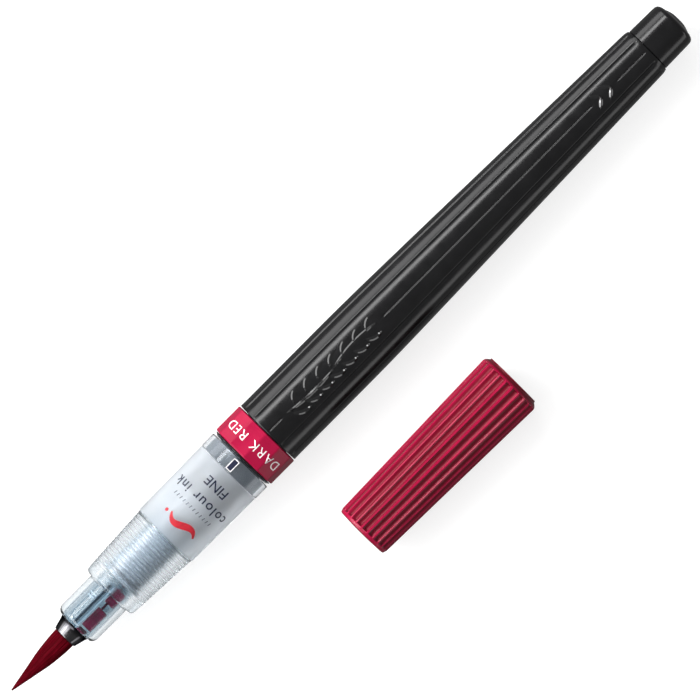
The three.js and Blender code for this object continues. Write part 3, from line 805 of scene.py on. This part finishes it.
def makeRing():
    e, bore = colourRing["edge"], colourRing["bore"]
    corner = math.radians(colourRing["corner"])
    sector = 2 * math.pi / colourRing["sides"]
    steps = [-corner / 2, corner / 2] + [math.radians(a) for a in (8, 15, 22)]
    turn = [i * sector + step for i in range(colourRing["sides"]) for step in steps]
    cornerRadius = ringRadius * math.cos(corner / 2) - 0.004 * mm
    # x, and the lift from the facets; no lift stands for the bore
    outline = [(ringX, None), (ringX, -e), (ringX + e * 0.4, -e * 0.3), (ringX + e, 0), (ringEndX - e, 0),
               (ringEndX - e * 0.4, -e * 0.3), (ringEndX, -e), (ringEndX, None)]
    mesh = bpy.data.meshes.new("twelve_sided_ring")
    made = bmesh.new()
    rows = []
    for x, lift in outline:
        row = []
        for angle in turn:
            facet = facetRadius(angle)
            if abs(angle - round(angle / sector) * sector) < corner:
                facet = min(facet, cornerRadius)
            row.append(made.verts.new(onPen(x, angle, bore if lift is None else facet + lift)))
        rows.append(row)
    for near, far in zip(rows, rows[1:] + rows[:1]):
        for i in range(len(turn)):
            j = (i + 1) % len(turn)
            made.faces.new([near[i], far[i], far[j], near[j]])
    closeMesh(made, mesh)
    return smoothShade(newObject("twelve_sided_ring", mesh, burgundyRing), 12)


def makeWasher():
    low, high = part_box("ring_washer")
    bore, r = 4.6 * mm, (high.z - low.z) / 2
    outline = [(low.x, bore), (low.x, r - 0.62 * mm), (low.x + 0.06 * mm, r - 0.5 * mm),
               (high.x - 0.05 * mm, r - 0.04 * mm), (high.x, r - 0.1 * mm), (high.x, bore)]
    return turned("black_bevel_washer", outline, evenTurn(96), blackPlastic, closed=True)


def bentOnPen(obj, midX, midAngle, radiusAt):
    # wraps flat lettering round the pen, its tops towards the nose and its start at the cap's side
    longestEdge = 0.25 * mm
    made = bmesh.new()
    made.from_mesh(obj.data)
    bmesh.ops.triangulate(made, faces=made.faces)
    for _ in range(8):
        tooLong = [edge for edge in made.edges if edge.calc_length() > longestEdge]
        if not tooLong:
            break
        bmesh.ops.subdivide_edges(made, edges=tooLong, cuts=1)
        bmesh.ops.triangulate(made, faces=made.faces)
    for vert in made.verts:
        x = midX - vert.co.y
        angle = midAngle - vert.co.x / radiusAt(x, midAngle)
        vert.co = onPen(x, angle, radiusAt(x, angle) + vert.co.z)
    closeMesh(made, obj.data)
    return obj


def lettering(name, words, height, spacing, midX, midAngle, radiusAt, finish, bold=0.0):
    curve = bpy.data.curves.new(name, "FONT")
    curve.body = words
    curve.size = height / 0.7  # capitals are 0.7 of the size
    curve.space_character = spacing
    curve.align_x = "CENTER"
    curve.offset = bold
    curve.extrude = prints["film"]
    curve.resolution_u = 4
    text = bpy.data.objects.new(name, curve)
    bpy.context.scene.collection.objects.link(text)
    graph = bpy.context.evaluated_depsgraph_get()
    mesh = bpy.data.meshes.new_from_object(text.evaluated_get(graph))
    bpy.data.objects.remove(text)
    for vert in mesh.vertices:
        vert.co.y -= height / 2
    mesh.materials.clear()
    return bentOnPen(newObject(name, mesh, finish), midX, midAngle, radiusAt)


def laidStrokes(name, strokes, section, place, finish):
    # ribbons along (across, along, width) paths, laid on a surface by place;
    # the section is (side, lift), with side 1 at half the width
    mesh = bpy.data.meshes.new(name)
    made = bmesh.new()
    for stroke in strokes:
        rows = []
        for i, (u, v, width) in enumerate(stroke):
            before, after = stroke[max(i - 1, 0)], stroke[min(i + 1, len(stroke) - 1)]
            side = Vector((before[1] - after[1], after[0] - before[0])).normalized() * width / 2
            points = [place(u + side.x * k, v + side.y * k, lift) for k, lift in section]
            rows.append([made.verts.new(point) for point in points])
        for near, far in zip(rows, rows[1:]):
            for i in range(len(section)):
                j = (i + 1) % len(section)
                made.faces.new([near[i], far[i], far[j], near[j]])
        made.faces.new(rows[0])
        made.faces.new(rows[-1][::-1])
    closeMesh(made, mesh)
    return newObject(name, mesh, finish)


def strokePath(points, count):
    # a smooth ribbon through its handles: (across, along, width) in millimetres
    last = len(points) - 1
    path = []
    for i in range(count + 1):
        t = i / count
        weights = [math.comb(last, k) * t ** k * (1 - t) ** (last - k) for k in range(last + 1)]
        mixed = [sum(w * point[axis] for w, point in zip(weights, points)) for axis in range(3)]
        path.append(tuple(value * mm for value in mixed))
    return path


# film is half the thickness of the print, bold widens its strokes
prints = {"film": 0.012 * mm, "dashes": 12, "dashPitch": 0.72,
          "ringWords": "DARK RED", "ringHeight": 1.56 * mm, "ringBold": -0.014 * mm,
          "title": "colour ink", "titleHeight": 1.6 * mm, "titleAt": 7.9 * mm, "titleBold": 0.02 * mm,
          "grade": "FINE", "gradeHeight": 1.56 * mm, "gradeAt": 11.0 * mm, "gradeBold": 0.012 * mm,
          "markAt": 3.3 * mm, "rowAt": 6.1 * mm}


def makePrints():
    def sleeveAt(x, angle):
        return sleeveRadius(x) + 0.02 * mm

    def ringAt(x, angle):
        return facetRadius(angle)

    def onSleeve(middleX, angle):
        # lays millimetres across and along on the sleeve, round a middle
        return lambda u, v, lift: onPen(middleX - v, angle - u / sleeveAt(middleX, 0),
                                        sleeveAt(middleX - v, 0) + lift)

    s = prints
    ringMiddle = (ringX + ringEndX) / 2 - 0.13 * mm
    ringWords = lettering("ring_lettering", s["ringWords"], s["ringHeight"], 1.2, ringMiddle,
                          math.radians(-2.5), ringAt, whitePrint, s["ringBold"])
    title = lettering("sleeve_lettering", s["title"], s["titleHeight"], 1.2, sleeveX + s["titleAt"],
                      0.0, sleeveAt, navyPrint, s["titleBold"])
    grade = lettering("sleeve_grade", s["grade"], s["gradeHeight"], 1.0, sleeveX + s["gradeAt"],
                      math.radians(4), sleeveAt, navyPrint, s["gradeBold"])
    # one wavy stroke with a dot, and a row of fine dashes
    film = [(-1, -s["film"]), (1, -s["film"]), (1, s["film"]), (-1, s["film"])]
    wave = strokePath([(-3.3, 0.6, 0.3), (-1.5, -2.2, 1.5), (0.6, 2.8, 1.4), (2.3, -0.3, 0.25)], 24)
    dot = strokePath([(2.9, 0.0, 0.3), (3.15, 0.1, 0.9), (3.4, 0.2, 0.3)], 8)
    mark = laidStrokes("sleeve_brush_mark", [wave, dot], film,
                       onSleeve(sleeveX + s["markAt"], math.radians(3)), redPrint)
    dashes = []
    for i in range(s["dashes"]):
        across = s["dashPitch"] * i - 4.0
        dashes.append(strokePath([(across, -0.28, 0.16), (across + 0.15, 0.28, 0.16)], 2))
    row = laidStrokes("sleeve_fine_row", dashes, film, onSleeve(sleeveX + s["rowAt"], 0), greyPrint)
    return ringWords, (title, grade, mark, row)


barrel = {"radius": 5.95 * mm, "straight": 17.2 * mm, "blend": 19 * mm, "drop": 0.335 * mm,
          "rear": 4.4 * mm, "chamfer": 0.9 * mm, "wall": 0.95 * mm, "edge": 0.2 * mm,
          "flutes": 12, "grooveWidth": 0.5 * mm, "grooveDepth": 0.15 * mm, "crown": 0.05 * mm}
# distances from the brush tip: where the relief stands, and where the top groove stops for it
relief = {"from": 61.2 * mm, "to": 80.9 * mm, "blankFrom": 59.7 * mm, "blankTo": 82.7 * mm,
          "arrowsFrom": 129.3 * mm, "arrowBlankFrom": 128.2 * mm, "arrowBlankTo": 134.5 * mm,
          "height": 0.15 * mm, "top": 0.2, "leafWidth": 0.7 * mm, "thin": 0.6 * mm, "pairs": 7}


def barrelRadius(x):
    blendX = barrelX + barrel["straight"]
    taperX = blendX + barrel["blend"]
    lastX = barrelEndX - barrel["chamfer"]
    slope = (barrel["radius"] - barrel["drop"] - barrel["rear"]) / (lastX - taperX)
    if x <= blendX:
        return barrel["radius"]
    if x <= taperX:
        t = (x - blendX) / barrel["blend"]
        return barrel["radius"] - barrel["drop"] * t * t * (1.7 - 0.7 * t)
    return barrel["radius"] - barrel["drop"] - slope * (min(x, lastX) - taperX)


def acrossPen(tree, start):
    # each point's place, and its distance towards the cap's side and up from the axis
    place = separate(tree, addNode(tree, "GeometryNodeInputPosition").outputs[0])
    side = minus(tree, start.outputs["Axis Y"], place[1])
    up = minus(tree, place[2], start.outputs["Axis Z"])
    return place, side, up


def fluteTree():
    # grooves and crowned lands between them, on the marked skin only
    sizes = ("Groove Width", "Groove Depth", "Crown", "From X", "To X", "Run Out",
             "Blank From", "Blank To", "Blank 2 From", "Blank 2 To")
    tree, start, end = nodeTree("barrelFlutes", {
        "Flutes": ("Int", 12), **{title: ("Float", 0.0) for title in sizes}})
    place, side, up = acrossPen(tree, start)
    radius = calc(tree, "SQRT", plus(tree, times(tree, side, side), times(tree, up, up)))
    angle = calc(tree, "ARCTAN2", side, up)
    turns = over(tree, times(tree, angle, start.outputs["Flutes"]), 2 * math.pi)
    nearest = calc(tree, "ROUND", turns)
    away = times(tree, calc(tree, "ABSOLUTE", minus(tree, turns, nearest)), 2.0)
    pitch = over(tree, times(tree, radius, 2 * math.pi), start.outputs["Flutes"])
    share = over(tree, start.outputs["Groove Width"], pitch)
    inGroove = calc(tree, "MINIMUM", over(tree, away, share), 1.0)
    wave = calc(tree, "COSINE", times(tree, inGroove, math.pi))
    groove = calc(tree, "MULTIPLY_ADD", wave, 0.5, 0.5)
    crown = calc(tree, "POWER", minus(tree, 1.0, away, clamp=True), 2.0)

    def between(low, high, run):
        rise = smoothStep(tree, place[0], low, plus(tree, low, run))
        fall = smoothStep(tree, place[0], minus(tree, high, run), high, 1.0, 0.0)
        return times(tree, rise, fall)

    # the groove on top leaves room for the relief
    blankRun = 0.6 * mm
    whole = between(start.outputs["From X"], start.outputs["To X"], start.outputs["Run Out"])
    blank = plus(tree, between(start.outputs["Blank From"], start.outputs["Blank To"], blankRun),
                 between(start.outputs["Blank 2 From"], start.outputs["Blank 2 To"], blankRun), clamp=True)
    onTop = calc(tree, "LESS_THAN", calc(tree, "ABSOLUTE", nearest), 0.5)
    kept = minus(tree, 1.0, times(tree, blank, onTop))
    depth = plus(tree, times(tree, groove, start.outputs["Groove Depth"]),
                 times(tree, crown, start.outputs["Crown"]))
    lift = times(tree, depth, whole, kept, attribute(tree, "skin"), -1.0)
    radial(tree, start, end, place, lift)
    return tree


def sectorTurn(count, fractions):
    # angles that crowd round each groove, as fractions of half a sector
    half = math.pi / count
    turn = []
    for i in range(count):
        middle = 2 * half * i
        turn += [middle + half * f for f in fractions]
    return turn


def makeBarrel():
    b = barrel
    taperX = barrelX + b["straight"] + b["blend"]
    lastX = barrelEndX - b["chamfer"]
    bore, rearBore = b["radius"] - b["wall"], b["rear"] - b["wall"]
    plugRadius = (tailHigh.z - tailLow.z) / 2

    def skin(x, radius):
        return 1.0 if radius > barrelRadius(x) - 0.5 * mm else 0.0

    outline = [(barrelX, bore)]
    outline += arc((barrelX, b["radius"] - b["edge"]), (barrelX, b["radius"]),
                   (barrelX + b["edge"], b["radius"]), 4)
    outline += spread(barrelX + 0.5 * mm, taperX, 60, barrelRadius)
    outline += spread(taperX + 0.8 * mm, lastX - 0.2 * mm, 84, barrelRadius)
    outline += arc((lastX, b["rear"] - 0.01 * mm), (lastX + 0.3 * mm, b["rear"] - 0.04 * mm),
                   (barrelEndX - 0.05 * mm, plugRadius + 0.14 * mm), 5)
    outline += [(barrelEndX, plugRadius + 0.06 * mm), (barrelEndX, rearBore),
                (barrelEndX - 5 * mm, rearBore), (taperX, bore - b["drop"]), (barrelX + 3.3 * mm, bore)]
    # mostly in and beside the grooves
    steps = (0.045, 0.09, 0.13, 0.165, 0.24, 0.4, 0.6, 0.82)
    fractions = [-step for step in reversed(steps)] + [0, *steps, 1]
    obj = turned("fluted_barrel", outline, sectorTurn(b["flutes"], fractions), blackPlastic,
                 closed=True, skin=skin)
    runTree(obj, fluteTree(), blackPlastic, {
        "Flutes": b["flutes"], "Groove Width": b["grooveWidth"], "Groove Depth": b["grooveDepth"],
        "Crown": b["crown"], "Run Out": 0.8 * mm,
        "From X": barrelX + 0.1 * mm, "To X": barrelEndX - 0.3 * mm,
        "Blank From": tipX + relief["blankFrom"], "Blank To": tipX + relief["blankTo"],
        "Blank 2 From": tipX + relief["arrowBlankFrom"], "Blank 2 To": tipX + relief["arrowBlankTo"]})
    return smoothShade(obj, 30)


def makeRelief():
    # a sprig of leaves, and a small pair of arrows near the tail
    r = relief
    foot = -0.1 * mm
    section = [(-1, foot), (1, foot), (1, 0), (r["top"], r["height"]), (-r["top"], r["height"]), (-1, 0)]

    def place(u, v, lift):
        x = tipX + v
        surface = barrelRadius(x)
        return onPen(x, -u / surface, surface + lift)

    def leaf(x0, side0, x1, side1, bend, width):
        # from one end to the other, bowed to a side, thin at its ends
        path = []
        for i in range(11):
            t = i / 10
            swell = 0.25 + 0.75 * math.sin(math.pi * t) ** 0.6
            bow = bend * 4 * t * (1 - t)
            x = x0 + (x1 - x0) * t - bow * (side1 - side0)
            side = side0 + (side1 - side0) * t + bow * (x1 - x0)
            path.append((-side * mm, x * mm, width * swell))
        return path

    stem = r["from"] / mm
    run = (r["to"] - r["from"]) / mm
    pitch = run / (r["pairs"] + 0.4)
    wide, thin = r["leafWidth"], r["thin"]
    leaves = [leaf(stem, 0.0, stem + run * 0.52, 0.25, 0.04, thin),
              leaf(stem + run * 0.5, 0.25, stem + run, -0.1, -0.05, thin)]
    for i in range(r["pairs"]):
        x = stem + pitch * (i + 0.25)
        reach = 1.9 - 0.5 * i / r["pairs"]
        leaves.append(leaf(x, 0.42, x + pitch * 1.05, reach, 0.16, wide))
        leaves.append(leaf(x + pitch * 0.45, -0.25, x + pitch * 1.4, -reach, -0.16, wide))
    arrows = []
    first = r["arrowsFrom"] / mm
    for x in (first, first + 2.2):
        arrows += [leaf(x, -1.3, x + 1.4, 0, 0.0, thin), leaf(x + 1.4, 0, x, 1.3, 0.0, thin)]
    sprig = laidStrokes("raised_leaves", leaves, section, place, polishedBlack)
    pair = laidStrokes("raised_arrows", arrows, section, place, polishedBlack)
    return smoothShade(sprig, 25), smoothShade(pair, 25)


tail = {"front": 4.04 * mm, "end": 3.93 * mm, "round": 1.5 * mm, "face": 1.2 * mm, "spigot": 3.3 * mm}


def makeTail():
    low, high = tailLow.x, tailHigh.x
    front, rear, spigot = tail["front"], tail["end"], tail["spigot"]
    seam = barrelEndX + 0.06 * mm
    outline = [(low, 0), (low, spigot - 0.3 * mm), (low + 0.3 * mm, spigot), (seam, spigot),
               (seam, front - 0.1 * mm), (seam + 0.1 * mm, front)]
    outline += spread(seam + 0.6 * mm, high - tail["round"] - 0.3 * mm, 6,
                      lambda x: front + (rear - front) * (x - seam) / (high - seam))
    outline += arc((high - tail["round"], rear), (high - 0.62 * mm, rear), (high - 0.46 * mm, 2.7 * mm), 12)
    outline += arc((high - 0.4 * mm, 2.5 * mm), (high - 0.05 * mm, 1.6 * mm), (high, tail["face"]), 6)
    outline += [(high, 0)]
    return turned("smooth_tail_plug", outline, evenTurn(128), blackPlastic)


def threadTree():
    # a right-hand coil about x
    tree, start, end = nodeTree("screwThread", {
        "Turns": ("Float", 2.0), "Radius": ("Float", 0.004), "Lead": ("Float", 0.0015),
        "Round": ("Float", 0.0004), "Start X": ("Float", 0.0)})
    height = times(tree, start.outputs["Turns"], start.outputs["Lead"])
    coil = addNode(tree, "GeometryNodeCurveSpiral", None, Resolution=40, Rotations=start.outputs["Turns"],
                   Start_Radius=start.outputs["Radius"], End_Radius=start.outputs["Radius"], Height=height)
    section = addNode(tree, "GeometryNodeCurvePrimitiveCircle", None, Resolution=8,
                      Radius=start.outputs["Round"])
    solid = addNode(tree, "GeometryNodeCurveToMesh", None, Curve=coil.outputs[0],
                    Profile_Curve=section.outputs[0], Fill_Caps=True)
    onX = addNode(tree, "GeometryNodeTransform", None, Geometry=solid.outputs[0],
                  Rotation=(0, math.pi / 2, 0))
    place = combine(tree, X=start.outputs["Start X"], Y=start.outputs["Axis Y"], Z=start.outputs["Axis Z"])
    put = addNode(tree, "GeometryNodeTransform", None, Geometry=onX.outputs[0], Translation=place)
    closeTree(tree, start, end, put)
    return tree


neck = {"radius": 4.2 * mm, "bore": 3.2 * mm, "seat": 4.85 * mm, "gasketDepth": 0.38 * mm,
        "turns": 2.0, "lead": 1.5 * mm, "round": 0.38 * mm, "threadBack": 3.5 * mm}


def makeNeck():
    low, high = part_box("cartridge_neck")
    gasketLow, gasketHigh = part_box("neck_gasket")
    r, bore, seat = neck["radius"], neck["bore"], neck["seat"]
    groove = r - neck["gasketDepth"]
    grooveX, grooveEndX = gasketLow.x - 0.1 * mm, gasketHigh.x + 0.1 * mm
    seatX = barrelX + 0.1 * mm
    outline = [(low.x, bore), (low.x, r - 0.25 * mm), (low.x + 0.25 * mm, r), (grooveX, r),
               (grooveX, groove), (grooveEndX, groove), (grooveEndX, r), (seatX, r), (seatX, seat),
               (high.x, seat), (high.x, bore)]
    tube = turned("threaded_neck", outline, evenTurn(96), smokedNeck, closed=True)
    ridge = newObject("threadRidge", bpy.data.meshes.new("threadRidge"))
    runTree(ridge, threadTree(), smokedNeck, {
        "Turns": neck["turns"], "Radius": r, "Lead": neck["lead"], "Round": neck["round"],
        "Start X": collarEndX - neck["threadBack"]})
    return joined(tube, smoothShade(ridge, 50))


# the cap's closed and open ends and its bore are radii
cap = {"closed": 4.8 * mm, "open": 5.6 * mm, "ribs": 24, "depth": 0.5 * mm, "hollow": 0.76,
       "rim": 1.1 * mm, "plainEnd": 0.6 * mm, "round": 0.45 * mm, "bore": 4.5 * mm,
       "deepBore": 3.72 * mm, "endWall": 1.0 * mm}


def capRibTree():
    # hollow flutes with narrow ribs left standing between them
    tree, start, end = nodeTree("capRibs", {
        "Ribs": ("Int", 24), "Depth": ("Float", 0.0004), "Hollow": ("Float", 0.7), "From X": ("Float", 0.0),
        "Run Out": ("Float", 0.0005)})
    place, side, up = acrossPen(tree, start)
    angle = calc(tree, "ARCTAN2", side, up)
    turns = over(tree, times(tree, angle, start.outputs["Ribs"]), 2 * math.pi)
    away = times(tree, calc(tree, "ABSOLUTE", minus(tree, turns, calc(tree, "ROUND", turns))), 2.0)
    hollow = over(tree, away, start.outputs["Hollow"])
    bead = calc(tree, "SQRT", minus(tree, 1.0, times(tree, hollow, hollow), clamp=True))
    fromX = start.outputs["From X"]
    rise = smoothStep(tree, place[0], fromX, plus(tree, fromX, start.outputs["Run Out"]))
    lift = times(tree, bead, start.outputs["Depth"], attribute(tree, "skin"), -1.0, rise)
    radial(tree, start, end, place, lift)
    return tree


def makeCap():
    c = cap
    low, high = capLow.x, capHigh.x
    plain = low + c["plainEnd"]
    ribEnd = high - c["rim"]

    def crest(x):
        return c["closed"] + (c["open"] - c["closed"]) * (x - low) / (high - low)

    def skin(x, radius):
        return 1.0 if radius > crest(x) - 0.3 * mm and plain < x < ribEnd + 0.05 * mm else 0.0

    # closed end, ribbed wall, plain rim, and back along the bore
    outline = [(low, 0), (low, c["closed"] * 0.45), (low + 0.1 * mm, c["closed"] - c["round"] - 0.2 * mm)]
    outline += arc((low + 0.12 * mm, c["closed"] - c["round"]), (low + 0.12 * mm, c["closed"] - 0.12 * mm),
                   (plain, c["closed"] - 0.1 * mm), 6)
    outline += spread(plain + 0.1 * mm, plain + 0.9 * mm, 5, crest)
    outline += spread(plain + 1.5 * mm, ribEnd - 1 * mm, 24, crest)
    outline += spread(ribEnd - 0.8 * mm, ribEnd, 5, crest)
    outline += arc((ribEnd + 0.04 * mm, c["open"] - 0.05 * mm), (ribEnd + 0.4 * mm, c["open"] - 0.1 * mm),
                   (high - 0.25 * mm, c["open"] - 0.78 * mm), 6)
    outline += [(high - 0.05 * mm, c["open"] - 0.8 * mm), (high, c["open"] - 0.85 * mm),
                (high, c["bore"] + 0.08 * mm), (high - 0.15 * mm, c["bore"]),
                (high - 2 * mm, c["bore"] - 0.03 * mm), (low + c["endWall"] + 0.1 * mm, c["deepBore"]),
                (low + c["endWall"], 0)]
    steps = (0.28, 0.46, 0.58, 0.66, 0.71, 0.74, 0.84)
    fractions = [-step for step in reversed(steps)] + [0, *steps, 1]
    obj = turned("ribbed_cap", outline, sectorTurn(c["ribs"], fractions), burgundyPlastic,
                 axisY=capY, axisZ=capZ, skin=skin)
    sizes = {"Ribs": c["ribs"], "Depth": c["depth"], "Hollow": c["hollow"], "From X": plain,
             "Run Out": 0.5 * mm}
    runTree(obj, capRibTree(), burgundyPlastic, sizes, capY, capZ)
    return smoothShade(obj, 40)


cup = {"front": 3.84 * mm, "tuftBore": 3.3 * mm, "noseSocket": 3.97 * mm, "socketDepth": 7.65 * mm,
       "endWall": 0.55 * mm}


def makeCup():
    low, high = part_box("cap_inner_cup")
    outer = cap["bore"] - 0.12 * mm
    front, tuftBore, socket = cup["front"], cup["tuftBore"], cup["noseSocket"]
    socketX = capHigh.x - cup["socketDepth"]
    endX0 = low.x + cup["endWall"]
    outline = [(low.x, 0), (low.x, front - 0.2 * mm), (low.x + 0.2 * mm, front), (high.x - 0.1 * mm, outer),
               (high.x, outer - 0.1 * mm), (high.x, socket + 0.15 * mm), (high.x - 0.2 * mm, socket),
               (socketX + 0.3 * mm, socket), (socketX, tuftBore), (endX0 + 0.2 * mm, tuftBore),
               (endX0, tuftBore - 0.2 * mm), (endX0, 0)]
    return turned("cap_sealing_cup", outline, evenTurn(96), burgundyPlastic, axisY=capY, axisZ=capZ)


colours = {"grip": (0.66, 0.7, 0.725), "feeder": (0.66, 0.74, 0.79), "collar": (0.66, 0.69, 0.72),
           "feedTube": (0.34, 0.375, 0.42), "slot": (0.05, 0.075, 0.1), "ridge": (0.88, 0.9, 0.92),
           "neck": (0.09, 0.095, 0.105), "wick": (0.36, 0.0006, 0.055), "ink": (0.16, 0.004, 0.03),
           "white": (0.8, 0.78, 0.78), "navy": (0.008, 0.011, 0.035), "red": (0.42, 0.008, 0.02),
           "grey": (0.12, 0.13, 0.16)}
blackPlastic = blackPlasticMaterial("glossyBlackPlastic", 0.16, 0.26)
polishedBlack = blackPlasticMaterial("polishedBlackRelief", 0.09, 0.15, 1.0)
burgundyPlastic = burgundyPlasticMaterial("glossyBurgundyPlastic", 0.3, True)
burgundyRing = burgundyPlasticMaterial("burgundyRingPlastic", 0.2)
clearPlastic = clearPlasticMaterial("clearNoseFrostedGrip", colours["grip"], 1.0, frost=0.16)
clearFeed = clearPlasticMaterial("clearFeederPlastic", colours["feeder"], 1.1, 1.25)
clearCollar = clearPlasticMaterial("clearCollarPlastic", colours["collar"])
tubePlastic = satinPlasticMaterial("satinFeedTubePlastic", colours["feedTube"], 0.4)
slotShade = satinPlasticMaterial("feederSlotShade", colours["slot"], 0.5)
paintedHighlightWhite = satinPlasticMaterial("feederPaintedHighlight", colours["ridge"], 0.45)
smokedNeck = satinPlasticMaterial("smokedNeckPlastic", colours["neck"], 0.3)
milkyPlastic = milkyPlasticMaterial()
ferruleMetal = ferruleMaterial()
bristleNylon = bristleMaterial()
stainedWick = inkMaterial("stainedInkWick", colours["wick"], 0.6)
wetInk = inkMaterial("burgundyInk", colours["ink"], 0.15)
whitePrint = inkMaterial("whitePrintInk", colours["white"], 0.5)
navyPrint = inkMaterial("navyPrintInk", colours["navy"], 0.5)
redPrint = inkMaterial("redPrintInk", colours["red"], 0.5)
greyPrint = inkMaterial("greyPrintInk", colours["grey"], 0.5)
feltSponge = feltMaterial()
sealRubber = rubberMaterial()
print("materials: done")

tuftObject = makeTuft()
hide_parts("bristle_tip", "bristle_root")
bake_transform(tuftObject)
print("tuft: done")

finishPiece(makeFerrule(), "front", "ferrule_metal", "ferrule", "root_clamp_ring")
finishPiece(makeHousing(), "front", "clear_plastic", "front_housing")
feederSleeve, *feederDetails = makeFeeder()
finishPiece(feederSleeve, "front", "clear_plastic", "feed_core")
for piece in feederDetails:
    finishPiece(piece, "front", "clear_plastic")
finishPiece(makeWick(), "front", "ink", "ink_wick")
finishPiece(makeFeedTube(), "front", "clear_plastic", "feed_tube")
finishPiece(makeSleeve(), "front", "milky_plastic", "thread_socket")
finishPiece(makeCollar(), "front", "clear_plastic", "joint_collar")
for piece in makeNotchFrame():
    finishPiece(piece, "front", "milky_plastic")
print("front section: done")

finishPiece(makeRing(), "ring", "burgundy_plastic", "colour_ring")
finishPiece(makeWasher(), "ring", "black_plastic", "ring_washer")
ringWords, sleevePrints = makePrints()
finishPiece(ringWords, "ring", "milky_plastic")
for piece in sleevePrints:
    finishPiece(piece, "front", "milky_plastic")
print("ring and print: done")

finishPiece(makeBarrel(), "cartridge", "black_plastic", "cartridge_barrel")
for piece in makeRelief():
    finishPiece(piece, "cartridge", "black_plastic")
finishPiece(makeTail(), "cartridge", "black_plastic", "tail_plug")
finishPiece(makeNeck(), "cartridge", "black_plastic", "cartridge_neck")
print("cartridge: done")

capShell = makeCap()
capShell.visible_glossy = False  # keeps its red out of the barrel's gloss
finishPiece(capShell, "cap", "burgundy_plastic", "cap_shell")
finishPiece(makeCup(), "cap", "burgundy_plastic", "cap_inner_cup")
print("cap: done")

# CAD pieces that stay as they are, with a finish of their own
keptPieces = {"flow_sponge": feltSponge, "neck_gasket": sealRubber, "neck_plug": sealRubber,
              "ink_charge": wetInk}
for node, finish in keptPieces.items():
    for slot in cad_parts[node].material_slots:
        slot.material = finish
print("kept pieces: done")


# light sizes and places in metres, power in watts
studio = {"floorSize": 6.0, "floorTone": 0.36, "floorGlow": 0.75, "worldTone": 0.2}
lights = {"sideBox": {"power": 2.6, "size": (1.1, 0.28), "place": (-0.1, 0.6, 0.13)},
          "farBox": {"power": 1.0, "size": (1.1, 0.2), "place": (0.1, -0.6, 0.06)},
          "edgeStrip": {"power": 5.0, "size": (1.2, 0.17), "place": (-0.1, 0.6, 0.5)},
          "endStrip": {"power": 6.5, "size": (0.8, 0.45), "place": (-0.55, 0.3, 0.42)},
          "mainLight": {"power": 8.5, "size": (0.6, 0.6), "place": (-0.4, 0.7, 0.75), "glossy": False},
          "topLight": {"power": 3.2, "size": (1.6, 1.6), "place": (0.0, 0.0, 1.15), "glossy": False}}
camera = {"centre": (1.1 * mm, -0.04 * mm), "roll": -45.2, "height": 1.2, "width": 109.5 * mm, "sensor": 36}


def makeFloor():
    tone = studio["floorTone"]
    made, tree, shader, place = newMaterial("paleFloor", (tone,) * 3, 0.9)
    speckle = tint(tree, noise(tree, place, 6, 2), 0.3, 0.7, (tone * 0.99,) * 3, (tone,) * 3)
    tree.links.new(speckle, shader.inputs["Base Color"])
    shader.inputs["Emission Color"].default_value = (1, 1, 1, 1)
    shader.inputs["Emission Strength"].default_value = studio["floorGlow"]
    mesh = bpy.data.meshes.new("floor")
    half = studio["floorSize"] / 2
    corners = [(-half, -half, 0), (half, -half, 0), (half, half, 0), (-half, half, 0)]
    mesh.from_pydata(corners, [], [(0, 1, 2, 3)])
    floor = newObject("floor", mesh, made)
    floor.visible_glossy = False  # keeps the undersides dark
    floor.visible_diffuse = False


def makeLight(name, power, size, place, glossy=True):
    data = bpy.data.lights.new(name, "AREA")
    data.shape = "RECTANGLE"
    data.size, data.size_y = size
    data.energy = power
    light = bpy.data.objects.new(name, data)
    light.location = place
    light.rotation_mode = "QUATERNION"
    light.rotation_quaternion = (-Vector(place)).to_track_quat("-Z", "Y")  # towards the origin
    light.visible_camera = False
    light.visible_glossy = glossy
    bpy.context.scene.collection.objects.link(light)


def makeStudio():
    world = bpy.data.worlds.new("studio")
    world.use_nodes = True
    back = world.node_tree.nodes["Background"]
    back.inputs[0].default_value = (studio["worldTone"],) * 3 + (1,)
    bpy.context.scene.world = world
    for name, values in lights.items():
        makeLight(name, **values)
    bpy.context.scene.view_settings.view_transform = "Standard"


def makeCamera():
    # straight down, the pen running from lower left to upper right
    data = bpy.data.cameras.new("camera")
    data.sensor_width = camera["sensor"]
    data.lens = camera["sensor"] * (camera["height"] - penZ) / camera["width"]
    obj = bpy.data.objects.new("camera", data)
    obj.location = (camera["centre"][0], penY + camera["centre"][1], camera["height"])
    obj.rotation_euler = (0, 0, math.radians(camera["roll"]))
    bpy.context.scene.collection.objects.link(obj)
    bpy.context.scene.camera = obj


makeFloor()
makeStudio()
makeCamera()
print("studio: done")
